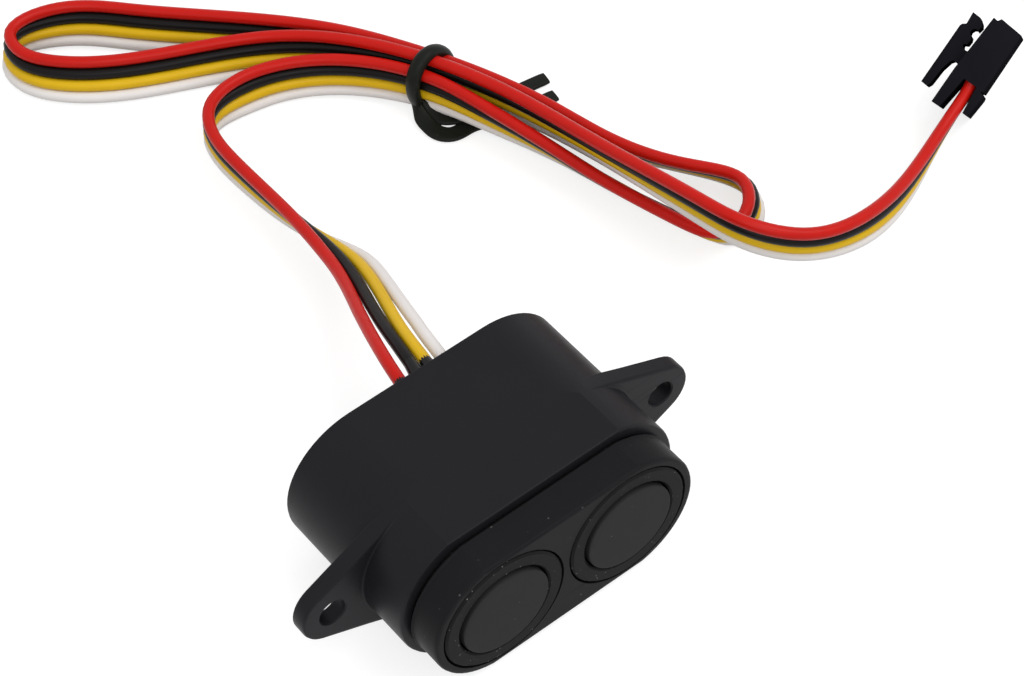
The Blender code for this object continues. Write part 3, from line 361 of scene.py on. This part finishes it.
# %% Ends of the tie
TIE_ENDS = (
    ((40.3, 56.2, 3.0, 78), (40.5, 55.2, 2.2, 60), (41.0, 54.0, 1.6, 38), (42.1, 52.1, 1.15, 15),
     (44.0, 50.9, 0.9, 5), (47.0, 50.0, 0.6, 0), (52.0, 49.6, 0.45, 0), (56.6, 49.1, 0.45, 0),
     (59.75, 48.6, 0.45, 0)),
    ((40.0, 56.2, 3.4, 78), (39.8, 55.2, 2.2, 62), (39.6, 54.0, 1.4, 35), (39.6, 52.2, 0.9, 10),
     (40.0, 50.2, 0.55, 0), (41.5, 48.7, 0.45, 0), (44.2, 48.35, 0.45, 0), (47.5, 47.3, 0.45, 0),
     (52.0, 45.8, 0.45, 0), (57.0, 45.0, 0.45, 0), (58.5, 44.8, 0.45, 0)),
)
END_HALF_THICK, END_STATIONS = 0.36, 60
END_TAPER = ((0, 1), (10, 1.1), (17, 1.22), (24, 1.2), (40, 1), (57, 1), (59, 0.93))


def end_of_tie(stations, number):
    """One end, whose width is tapered by factors at some of its stations."""
    points = [(*lead_point(x, y, z), tilt) for x, y, z, tilt in stations]
    rows = smooth_curve(points, END_STATIONS)
    flat = rows[:, :3] * (1, 1, 0)
    along = unit(np.gradient(flat, axis=0))
    level = np.cross(UP, along)
    tilt = np.radians(rows[:, 3:4])
    wide = np.cos(tilt) * level + np.sin(tilt) * UP
    thick = np.cos(tilt) * UP - np.sin(tilt) * level
    taper = np.interp(np.arange(END_STATIONS), *zip(*END_TAPER))
    sections = [soft_section(TIE_HALF_WIDTH * t, END_HALF_THICK * min(t, 1), fullness=0.5)
                for t in taper]
    rings = swept(rows[:, :3], wide, thick, sections)
    return loft(f"tie_end_{number}", rings, sharp=TIE_EDGE)


def merge(piece, others):
    """Joins other meshes into the first, and removes their objects."""
    work = bmesh.new()
    for obj in (piece, *others):
        work.from_mesh(obj.data)
    work.to_mesh(piece.data)
    work.free()
    for obj in others:
        bpy.data.objects.remove(obj)


merge(tie, [end_of_tie(stations, k) for k, stations in enumerate(TIE_ENDS)])
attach(tie, "root")
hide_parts("twist_tie")
print("tie:", len(tie.data.polygons), "faces")

# %% [markdown]
# ## The plug
# The plug is one small moulding. Its side view says nearly all about it: a solid body with two
# wings that guard the wires, and a sprung lever with a hook. So both outlines are drawn once,
# and helpers pull them out to their width, cut or join them, and make the result one mesh.

# %% Outlines and helpers for the plug
PLUG_SIDE = (  # x along the plug, and y towards its latch, in mm
    (9.9, -2.7), (-0.1, -2.85), (-0.25, -2.45), (-0.5, -3.1), (-1.0, -3.2), (-4.3, -2.95),
    (-4.3, -2.05), (0.0, -1.6), (0.0, 0.65), (-5.4, 1.3), (-5.4, 2.7), (0.6, 2.7), (3.7, 2.5),
    (9.85, 2.15), (9.75, 1.4), (10.3, 1.05),
)
LATCH_BACK, LATCH_CHAMFER = 5.85, 0.45
LATCH_SIDE = (
    (3.75, 2.2), (3.6, 3.0), (3.8, 3.6), (4.2, 3.8), (4.5, 3.25), (5.3, 3.2), (5.8, 3.4),
    (6.0, 3.85), (6.4, 4.0), (6.9, 3.8), (7.1, 3.45), (6.95, 3.1), (7.8, 2.95), (8.3, 3.25),
    (8.8, 3.9), (8.9, 5.3), (7.0, 5.15), (6.6, 5.7), (6.2, LATCH_BACK), (-3.8, LATCH_BACK),
    (-3.9, 4.8), (-3.3, 4.5), (-0.6, 4.35), (1.0, 3.95), (1.45, 3.6), (1.3, 2.2),
)
PLUG_HALF, LATCH_HALF = 5.3, 3.2  # half of each along the row of wires


def slab(name, outline, low, high):
    """A side view pulled out along the row of wires, in the plug's own axes."""
    return loft(name, [[(x, y, z) for x, y in outline] for z in (low, high)], sharp=20)


def carve(piece, other, operation="DIFFERENCE"):
    """Cuts another piece out of the first, or joins it on, and gives it back for removal."""
    step = piece.modifiers.new(other.name, "BOOLEAN")
    step.operation, step.object, step.solver = operation, other, "EXACT"
    return other


def settle(piece, helpers):
    """Makes the modifiers' result the piece's own mesh, and removes the helpers."""
    bpy.context.view_layer.update()
    evaluated = piece.evaluated_get(bpy.context.evaluated_depsgraph_get())
    result = bpy.data.meshes.new_from_object(evaluated)
    piece.modifiers.clear()
    piece.data = result
    for helper in helpers:
        bpy.data.objects.remove(helper)


def passage(name, row, side, start, end):
    """A square passage along the plug, round the middle of one wire."""
    low, high = CAVITY_Y - side / 2, CAVITY_Y + side / 2
    outline = ((start, low), (end, low), (end, high), (start, high))
    return slab(name, outline, row - side / 2, row + side / 2)


print("corners of the plug and its lever:", len(PLUG_SIDE), len(LATCH_SIDE))

# %% [markdown]
# The lever has a small chamfer along its back, so it is lofted through four outlines and joined
# on. A chamber for each wire is cut in from behind, and a smaller window goes on through the
# front for its contact. A bevel then rounds every edge, since a moulded edge always catches a
# thin line of light, and last the plug moves from its own axes to its place.

# %% Plug
CHAMBERS = (("chamber", 2.0, -1, 8.6), ("window", 1.3, 7.6, 12))  # side, start and end
EDGE_RADIUS, EDGE_ANGLE = 0.13, math.radians(38)
SHARP = math.radians(32)  # an edge sharper than this is shaded as an edge

plug = slab("wire_plug", PLUG_SIDE, -PLUG_HALF, PLUG_HALF)
inner = list(LATCH_SIDE)
outer = [(x, min(y, LATCH_BACK - LATCH_CHAMFER)) for x, y in LATCH_SIDE]
lever_sides = ((outer, -LATCH_HALF), (inner, LATCH_CHAMFER - LATCH_HALF),
               (inner, LATCH_HALF - LATCH_CHAMFER), (outer, LATCH_HALF))
lever = loft("lever", [[(x, y, z) for x, y in side] for side, z in lever_sides], sharp=20)
helpers = [carve(plug, lever, "UNION")]
for k in range(len(WIRES)):
    for name, side, start, end in CHAMBERS:
        cut = passage(f"{name}_{k}", (k - 1.5) * PLUG_PITCH, side, start, end)
        helpers.append(carve(plug, cut))
rounding = plug.modifiers.new("edges", "BEVEL")
rounding.width, rounding.segments = EDGE_RADIUS * MM, 2
rounding.limit_method, rounding.angle_limit = "ANGLE", EDGE_ANGLE
settle(plug, helpers)
along, towards_latch, row_way = plug_axes()
place = Matrix([[*row, 0] for row in zip(along, towards_latch, row_way)] + [[0, 0, 0, 1]])
plug_point = Vector([float(c) * MM for c in lead_point(*PLUG_POINT)])
plug.data.transform(Matrix.Translation(plug_point) @ place)
plug.data.shade_smooth()
plug.data.set_sharp_from_angle(angle=SHARP)
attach(plug, "root")
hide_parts("plug_housing")
print("plug:", len(plug.data.polygons), "faces")

# %% [markdown]
# ## The resin
# The rear was filled with liquid resin, which crept up the wall all round and set in soft
# waves. Rings that follow the wall's oval, each further in than the last, give the creep its
# curve and carry the waves.

# %% Resin
RESIN_REAR_Y = 14.6                                  # where the resin lies level
WALL_RADIUS, WALL_HALF, END_X = 10.63, 10.13, 10.65  # the inside of the housing's wall
BODY_Z = 11.6                                        # the height of the housing's middle
CREEP, CREEP_FADE = 0.5, 0.45                        # how far it crept up, and over what width
INSETS = (0.08, 0.2, 0.4, 0.7, 1.1, 1.8, 3.0, 5.0, 7.5)
WAVE, CALM_WIDTH = 0.06, 1.5                         # its waves, and the calm strip at the wall
WAVE_X, WAVE_Z = 0.9, 0.5                            # their turn per mm, in radians


def oval(inset, y, end_steps=26, flat_steps=22):
    """A waved oval inside the housing's wall: two round ends and two flat sides."""
    radius, half = WALL_RADIUS - inset, WALL_HALF - inset
    meeting = math.acos(half / radius)
    angles = np.linspace(meeting, math.pi - meeting, end_steps)
    end = [(END_X + radius * math.sin(a), radius * math.cos(a)) for a in angles]
    flat = [(x, -half) for x in np.linspace(end[-1][0], -end[-1][0], flat_steps)[1:-1]]
    half_ring = end + flat
    ring = half_ring + [(-x, -z) for x, z in half_ring]
    share = min(1, inset / CALM_WIDTH)
    return [(x, y + WAVE * math.sin(WAVE_X * x + WAVE_Z * z) * share, BODY_Z + z)
            for x, z in ring]


rings = [oval(0, RESIN_Y), oval(0, RESIN_REAR_Y + CREEP)]
rings += [oval(inset, RESIN_REAR_Y + CREEP * math.exp(-inset / CREEP_FADE)) for inset in INSETS]
resin = loft("rear_resin", rings, sharp=60)
print("level resin:", len(resin.data.polygons), "faces")

# %% [markdown]
# The resin also crept along each wire, further on some than on others. A short flared sleeve,
# swept along the wire's own start, gives that mound. The mounds are joined to the resin as one
# piece, because it was one pour.

# %% Mounds round the wires
MOUND_FADE = {"white": 0.9, "yellow": 1.3, "black": 1.6, "red": 0.9}  # in mm along the wire
MOUND_ROOT, MOUND_REACH = 0.8, 3.3   # how deep it starts, in mm, and where it ends, in fades
MOUND_FLARE, MOUND_TUCK = 1.3, 0.08  # how wide its foot is, and how its edge dips in


def mound(colour, line, corners=20):
    """A flared sleeve of resin along the start of one wire."""
    fade = MOUND_FADE[colour]
    ends = (RESIN_REAR_Y - MOUND_ROOT, RESIN_REAR_Y + MOUND_REACH * fade)
    start, stop = (int(np.argmax(line[:, 1] > y)) for y in ends)
    path = line[start:stop + 1]
    forward = unit(np.gradient(path, axis=0))
    sideways = unit(np.cross(forward, UP))
    upward = np.cross(sideways, forward)
    away = np.maximum(path[:, 1] - RESIN_REAR_Y, 0)
    radius = WIRE_DIAMETER / 2 - MOUND_TUCK + MOUND_FLARE * np.exp(-away / fade)
    angles = np.linspace(0, math.tau, corners, endpoint=False)
    rings = [[p + r * (math.cos(a) * s + math.sin(a) * u) for a in angles]
             for p, r, s, u in zip(path, radius, sideways, upward)]
    return loft(f"mound_{colour}", rings)


merge(resin, [mound(colour, line) for colour, line in zip(WIRES, lines)])
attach(resin, "root")
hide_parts("resin_block")
print("resin:", len(resin.data.polygons), "faces")

# %% [markdown]
# ## Shader maths
# A finish is a graph of nodes. Wrapping an output socket in a small class lets the maths read as
# plain Python: a sum or a product of sockets adds its own Math node, and a single method adds
# any other node.

# %% The socket class
class Socket:
    """An output socket that adds Math nodes when it is used in an expression."""

    def __init__(self, tree, output=None):
        self.tree, self.output = tree, output

    def node(self, kind, settings=None, inputs=None, output=0):
        """Adds a node: its settings first, then the values or links of its sockets."""
        made = self.tree.nodes.new(kind)
        for name, value in (settings or {}).items():
            setattr(made, name, value)
        for name, value in (inputs or {}).items():
            if isinstance(value, Socket):
                self.tree.links.new(value.output, made.inputs[name])
            else:
                made.inputs[name].default_value = value
        return Socket(self.tree, made.outputs[output])

    def maths(self, operation, *values):
        return self.node("ShaderNodeMath", {"operation": operation}, dict(enumerate(values)))

    def __add__(self, other): return self.maths("ADD", self, other)
    def __radd__(self, other): return self.maths("ADD", other, self)
    def __sub__(self, other): return self.maths("SUBTRACT", self, other)
    def __rsub__(self, other): return self.maths("SUBTRACT", other, self)
    def __mul__(self, other): return self.maths("MULTIPLY", self, other)

    def above(self, low, high):
        """0 below low and 1 above high, with a smooth step between."""
        return self.node("ShaderNodeMapRange", {"interpolation_type": "SMOOTHSTEP"},
                         {"Value": self, "From Min": low, "From Max": high}, "Result")


print("socket class ready")

# %% [markdown]
# Every finish starts from one Principled shader. What is the same all over is set on its own
# sockets, and what changes over the surface comes in by nodes: grain, streaks, specks and wear.
# All patterns are read in object space, in metres, so that their scale is the real one.

# %% Helpers for finishes
def new_finish(name, roughness=0.5, metallic=0.0, **constants):
    """A material, its Principled shader, and a Socket to start expressions from."""
    material = bpy.data.materials.new(name)
    material.use_nodes = True
    shader = material.node_tree.nodes["Principled BSDF"]
    shader.inputs["Roughness"].default_value = roughness
    shader.inputs["Metallic"].default_value = metallic
    for socket, value in constants.items():
        shader.inputs[socket.replace("_", " ")].default_value = value
    return material, shader, Socket(material.node_tree)


def connect(shader, **links):
    """Links each socket to the shader's input of that name."""
    for name, socket in links.items():
        socket.tree.links.new(socket.output, shader.inputs[name.replace("_", " ").title()])


def places(start):
    """Places on the object, in metres."""
    return start.node("ShaderNodeTexCoord", output="Object")


def noise(start, scale, detail=3.0, roughness=0.5, vector=None):
    """Noise from 0 to 1, whose lumps are about 1 / scale metres apart."""
    return start.node("ShaderNodeTexNoise", {}, {"Vector": vector or places(start), "Scale": scale,
                                                 "Detail": detail, "Roughness": roughness})


def mixed(start, share, low, high):
    """A colour between two, by a share from 0 to 1. Each may be a colour or another Socket."""
    low, high = (c if isinstance(c, Socket) else (*c, 1) for c in (low, high))
    # 6, 7 and 2 are the node's colour sockets, which share their names with others.
    return start.node("ShaderNodeMix", {"data_type": "RGBA"}, {0: share, 6: low, 7: high}, 2)


def shades(colour, darker, lighter):
    """One colour in two shades, for a finish to vary between."""
    return (tuple(c * factor for c in colour) for factor in (darker, lighter))


def bumped(start, height, depth):
    """A normal from a height between 0 and 1, whose full depth is in metres."""
    return start.node("ShaderNodeBump", {}, {"Height": height, "Distance": depth, "Strength": 1.0})


def specks(start, scale, size, share):
    """Small round spots, 1 inside and 0 outside, in this share of the pattern's cells."""
    cells = {"Vector": places(start), "Scale": scale}
    away = start.node("ShaderNodeTexVoronoi", {}, cells, "Distance")
    tint = start.node("ShaderNodeTexVoronoi", {}, cells, "Color")
    chance = start.node("ShaderNodeSeparateColor", {}, {"Color": tint}, "Red")
    return (1 - away.above(size, size * 1.4)) * chance.above(1 - share, 1.02 - share)


print("finish helpers ready")

# %% [markdown]
# ## Moulded plastic
# The housing and its cap are moulded in black plastic from a finely eroded tool: a satin surface
# with a very fine grain, a faint cloudiness from the flow, and hairline rubs where it was
# handled. The grain is a bump of a few micrometres, and the rubs only change the roughness.
# The photo shows next to no sheen on the cap and none on the plug, so their gloss is set low.

# %% Moulded plastic
def moulded(name, colour, roughness, grain=5e-6, dust=0.0, gloss=0.16):
    material, shader, start = new_finish(name, Specular_IOR_Level=gloss)
    cloud = noise(start, 130.0, detail=2.0)
    fine = noise(start, 9000.0, detail=2.0, roughness=0.6)
    stretched = start.node("ShaderNodeMapping", {}, {
        "Vector": places(start), "Rotation": (0.3, 0.2, 0.7), "Scale": (40.0, 900.0, 900.0)})
    hairs = noise(start, 2.2, roughness=0.6, vector=stretched).above(0.6, 0.72)
    tint = mixed(start, cloud * 0.6 + fine * 0.4, *shades(colour, 0.88, 1.14))
    if dust:
        dusty = noise(start, 160.0, detail=2.0).above(0.48, 0.62)
        spots = specks(start, 900.0, size=0.1, share=0.35) * dusty
        tint = mixed(start, spots * dust, tint, (0.32, 0.31, 0.3))
    connect(shader, base_color=tint, roughness=roughness + (cloud - 0.5) * 0.1 + hairs * 0.1,
            normal=bumped(start, fine, grain))
    return material


finishes = {
    "housing": moulded("housing_plastic", (0.0105, 0.0100, 0.0122), 0.42, gloss=0.1),
    "cap": moulded("cap_plastic", (0.0105, 0.0102, 0.0115), 0.45, dust=0.2, gloss=0.05),
    "chip": moulded("chip_plastic", (0.0200, 0.0200, 0.0200), 0.5),
    "plug": moulded("plug_plastic", (0.0110, 0.0110, 0.0138), 0.6, grain=3e-6, gloss=0.0),
}
print("moulded finishes:", list(finishes))

# %% [markdown]
# ## Transducer faces, rubber and resin
# Each transducer's face is a thin disc painted dark grey, with fine pigment that sparkles a
# little. The ring round it and the seal are soft black rubber, which always holds a few dust
# specks. The resin at the rear was poured, so it is glossy, with shallow waves.

# %% Faces, rubber and resin
def painted_face(name, colour):
    material, shader, start = new_finish(name, Specular_IOR_Level=0.05)
    pigment = noise(start, 14000.0, detail=2.0, roughness=0.7)
    cloud = noise(start, 260.0)
    spots = specks(start, 1100.0, size=0.07, share=0.12)
    tint = mixed(start, pigment * 0.7 + cloud * 0.3, *shades(colour, 0.8, 1.2))
    connect(shader, base_color=mixed(start, spots * 0.35, tint, (0.3, 0.3, 0.3)),
            roughness=0.5 + (pigment - 0.5) * 0.25, normal=bumped(start, pigment, 4e-6))
    return material


def rubber(name, colour, roughness, dust, gloss):
    material, shader, start = new_finish(name, Specular_IOR_Level=gloss)
    fine = noise(start, 6000.0, roughness=0.6)
    bloom = noise(start, 350.0)
    spots = specks(start, 1900.0, size=0.14, share=0.45) * bloom.above(0.42, 0.62)
    tint = mixed(start, bloom, *shades(colour, 0.8, 1.25))
    connect(shader, base_color=mixed(start, spots * dust, tint, (0.35, 0.33, 0.31)),
            roughness=roughness + (fine - 0.5) * 0.2, normal=bumped(start, fine, 6e-6))
    return material


def poured_resin(name):
    material, shader, start = new_finish(name, Specular_IOR_Level=0.16)
    waves = noise(start, 220.0, detail=2.0)
    bubbles = specks(start, 700.0, size=0.12, share=0.2)
    connect(shader, base_color=mixed(start, waves, (0.005, 0.005, 0.006), (0.010, 0.010, 0.011)),
            roughness=0.16 + waves * 0.14, normal=bumped(start, waves - bubbles * 0.4, 6e-5))
    return material


finishes |= {
    "can": painted_face("face_paint", (0.0205, 0.0195, 0.0205)),
    "isolator": rubber("isolator_rubber", (0.0115, 0.0115, 0.0120), 0.5, dust=0.55, gloss=0.04),
    "seal": rubber("seal_rubber", (0.0040, 0.0040, 0.0040), 0.7, dust=0.1, gloss=0.1),
    "tie": rubber("tie_skin", (0.0085, 0.0098, 0.0076), 0.42, dust=0.06, gloss=0.1),
    "resin": poured_resin("potting_resin"),
}
print("finishes so far:", len(finishes))

# %% [markdown]
# ## Wire insulation
# The insulation is soft extruded plastic: a satin skin with fine lengthwise draw lines and a
# little unevenness in the colour. The lines follow the wire by its own UV direction, because
# object space has no idea where a bent wire runs.

# %% Wire insulation
def insulation(name, colour, shade, gloss=0.16):
    material, shader, start = new_finish(name, Specular_IOR_Level=gloss)
    uv = start.node("ShaderNodeTexCoord", output="UV")
    drawn = start.node("ShaderNodeMapping", {}, {"Vector": uv, "Scale": (60.0, 26.0, 1.0)})
    lines_along = noise(start, 1.0, detail=2.0, roughness=0.6, vector=drawn)
    cloud = noise(start, 240.0, detail=2.0)
    fine = noise(start, 5200.0, detail=2.0)
    connect(shader, base_color=mixed(start, cloud * 0.6 + lines_along * 0.4, shade, colour),
            roughness=0.36 + (lines_along - 0.5) * 0.14 + (fine - 0.5) * 0.1,
            normal=bumped(start, lines_along * 0.6 + fine * 0.4, 8e-6))
    return material


finishes |= {
    "wire_white": insulation("white_insulation", (0.84, 0.81, 0.79), (0.76, 0.72, 0.70)),
    "wire_yellow": insulation("yellow_insulation", (0.78, 0.49, 0.010), (0.68, 0.41, 0.007)),
    "wire_black": insulation("black_insulation", (0.0075, 0.0058, 0.0058), (0.005, 0.004, 0.004),
                             gloss=0.12),
    "wire_red": insulation("red_insulation", (0.60, 0.010, 0.005), (0.48, 0.006, 0.003)),
}
for colour, wire in wires.items():
    wire.data.materials.append(finishes[f"wire_{colour}"])
print("wires finished:", list(wires))

# %% [markdown]
# ## Inside the housing
# The parts behind the cap are hidden, but each has its own finish too, because the part may be
# opened: fired ceramic, foam, tinned copper, solder mask over glass weave, ferrite, enamelled
# wire and a capacitor's sleeve.

# %% Inner finishes
def speckled(name, dark, light, scale, roughness, metallic=0.0, depth=1e-5):
    material, shader, start = new_finish(name, metallic=metallic)
    lumps = noise(start, scale, detail=4.0, roughness=0.6)
    connect(shader, base_color=mixed(start, lumps, dark, light),
            roughness=roughness + (lumps - 0.5) * 0.25, normal=bumped(start, lumps, depth))
    return material


def ridges(start, way, scale):
    """Even ridges across one axis, from 0 to 1."""
    return start.node("ShaderNodeTexWave", {"bands_direction": way},
                      {"Vector": places(start), "Scale": scale})


def woven_board(name):
    material, shader, start = new_finish(name)
    cloth = ridges(start, "X", 900.0) * 0.5 + ridges(start, "Z", 900.0) * 0.5
    connect(shader, base_color=mixed(start, cloth, (0.006, 0.05, 0.02), (0.012, 0.085, 0.035)),
            roughness=0.3 + cloth * 0.12, normal=bumped(start, cloth, 8e-6))
    return material


def wound_coil(name):
    material, shader, start = new_finish(name, metallic=0.9)
    turns = ridges(start, "Y", 1600.0)
    connect(shader, base_color=mixed(start, turns, (0.25, 0.06, 0.02), (0.6, 0.22, 0.09)),
            roughness=0.25 + turns * 0.15, normal=bumped(start, turns, 6e-5))
    return material


finishes |= {
    "laminate": woven_board("solder_mask"),
    "coil": wound_coil("enamelled_coil"),
}
for slot, *values in (  # name, dark and light colour, scale, roughness, metallic, depth
    ("piezo", "fired_ceramic", (0.50, 0.47, 0.38), (0.60, 0.57, 0.49), 3000.0, 0.5),
    ("pad", "white_foam", (0.50, 0.50, 0.48), (0.68, 0.68, 0.66), 2500.0, 0.8, 0.0, 6e-5),
    ("lead", "tinned_copper", (0.50, 0.50, 0.50), (0.68, 0.68, 0.68), 4000.0, 0.28, 1.0),
    ("terminal", "tinned_bronze", (0.50, 0.49, 0.47), (0.70, 0.69, 0.66), 4000.0, 0.3, 1.0),
    ("ferrite", "ferrite_core", (0.025, 0.025, 0.026), (0.05, 0.05, 0.052), 3500.0, 0.6),
    ("capacitor", "capacitor_sleeve", (0.42, 0.42, 0.44), (0.55, 0.55, 0.57), 2500.0, 0.32, 1.0),
):
    finishes[slot] = speckled(*values)
print("finishes:", len(finishes))

# %% [markdown]
# The record names the slot of every node, so one loop dresses them all. The solids come in as
# loose facets, which would show as flat bands on the round ends. Three modifiers give back the
# curves and move no point: one closes the seams, one keeps the real edges sharp, and the last
# lets the large faces lead the shading, so that the flat sides stay flat.

# %% Dress the CAD nodes
SEAM, FACE_WEIGHT = 1e-6, 60  # the seams' width in metres, and how much the large faces lead


def smooth_solid(node):
    node.modifiers.new("seams", "WELD").merge_threshold = SEAM
    node.modifiers.new("edges", "EDGE_SPLIT").split_angle = SHARP
    node.modifiers.new("shading", "WEIGHTED_NORMAL").weight = FACE_WEIGHT
    node.data.shade_smooth()


for row in frame["record"]["subparts"]:
    node = frame["nodes"][row["node"]]
    node.data.materials.clear()
    node.data.materials.append(finishes[row["material_slot"]])
    smooth_solid(node)
for piece, slot in ((tie, "tie"), (plug, "plug"), (resin, "resin")):
    piece.data.materials.clear()
    piece.data.materials.append(finishes[slot])
print("nodes dressed:", len(frame["nodes"]))

# %% [markdown]
# ## Floor and backdrop
# The picture has a white ground with next to no shadow. The floor is a pale sheet that takes the
# object's soft shadow. It glows, but only to the camera and to mirror-like rays, which lifts it
# to white and puts no more light on the object.

# %% Floor
FLOOR_SIZE, FLOOR_SQUARES = 6.0, 12  # in metres
FLOOR_DROP = 0.05 * MM               # a hair under the object, so that no two faces coincide
FLOOR_GLOW = 0.7


def seen_ray(start):
    """1 for camera, glossy and transmission rays, 0 for the rays that light a surface."""
    seen, mirrored, through = (start.node("ShaderNodeLightPath", output=f"Is {name} Ray")
                               for name in ("Camera", "Glossy", "Transmission"))
    return start.maths("MAXIMUM", seen, start.maths("MAXIMUM", mirrored, through))


def pale_sheet(name, size, place):
    mesh = bpy.data.meshes.new(name)
    work = bmesh.new()
    bmesh.ops.create_grid(work, x_segments=FLOOR_SQUARES, y_segments=FLOOR_SQUARES, size=size / 2)
    work.to_mesh(mesh)
    work.free()
    sheet = bpy.data.objects.new(name, mesh)
    sheet.location = place
    bpy.context.scene.collection.objects.link(sheet)
    return sheet


floor = pale_sheet("floor", FLOOR_SIZE, (0, 0, -FLOOR_DROP))
floor_finish, floor_shader, start = new_finish("pale_floor", roughness=0.8,
                                               Emission_Strength=FLOOR_GLOW, Specular_IOR_Level=0.0)
connect(floor_shader,
        base_color=mixed(start, noise(start, 900.0), (0.45, 0.45, 0.45), (0.47, 0.47, 0.47)),
        emission_color=mixed(start, seen_ray(start), (0, 0, 0), (1, 1, 1)),
        normal=bumped(start, noise(start, 2500.0), 1e-6))
floor.data.materials.append(floor_finish)
print("floor:", floor.name)

# %% [markdown]
# ## Light
# A white room lights the object evenly, and the camera sees it as pure white. Two large soft
# lamps hang in front: the key on the right, and a weaker fill on the left for the shaded side of
# the wires. Both stay clear of the mirror directions of the flat faces, so that the black
# plastic keeps its depth and only the rounded edges and the wires catch them.

# %% World and lamps
ROOM_LIGHT = 0.68          # how strong the white room lights the object
LAMP_SIZE = (0.7, 0.6)     # in metres
LAMPS = (                  # place and aim in metres, and power in watts
    ("key_lamp", (0.4, -0.35, 0.95), (0.03, 0.03, 0), 4.0),
    ("front_fill", (-0.45, -0.65, 0.75), (0.02, 0.05, 0), 3.0),
)

world = bpy.data.worlds.new("studio")
bpy.context.scene.world = world
world.use_nodes = True
background = world.node_tree.nodes["Background"]
room = seen_ray(Socket(world.node_tree)) * (1 - ROOM_LIGHT) + ROOM_LIGHT
world.node_tree.links.new(room.output, background.inputs["Strength"])
background.inputs["Color"].default_value = (1, 1, 1, 1)


def soft_lamp(name, place, aim, power):
    """A soft rectangular lamp that looks at its aim."""
    lamp = bpy.data.lights.new(name, "AREA")
    lamp.shape = "RECTANGLE"
    lamp.size, lamp.size_y = LAMP_SIZE
    lamp.energy = power
    holder = bpy.data.objects.new(name, lamp)
    holder.location = place
    holder.rotation_euler = (Vector(aim) - Vector(place)).to_track_quat("-Z", "Y").to_euler()
    bpy.context.scene.collection.objects.link(holder)


for row in LAMPS:
    soft_lamp(*row)
bpy.context.scene.view_settings.view_transform = "Standard"

# %% Cords
COLLAR_END_Y = 16.6  # in mm, just behind the collar

for k, (colour, line) in enumerate(zip(WIRES, lines)):
    first = int(np.argmax(line[:, 1] > COLLAR_END_Y))
    tuple(line[first] * MM)
    f"terminal_{k + 1}"
    print(colour, "whole", round(length_of(line), 1), "outside", round(length_of(line[first:]), 1))

# %% [markdown]
# The last line brings the view layer up to date.

# %% Update the view layer
bpy.context.view_layer.update()
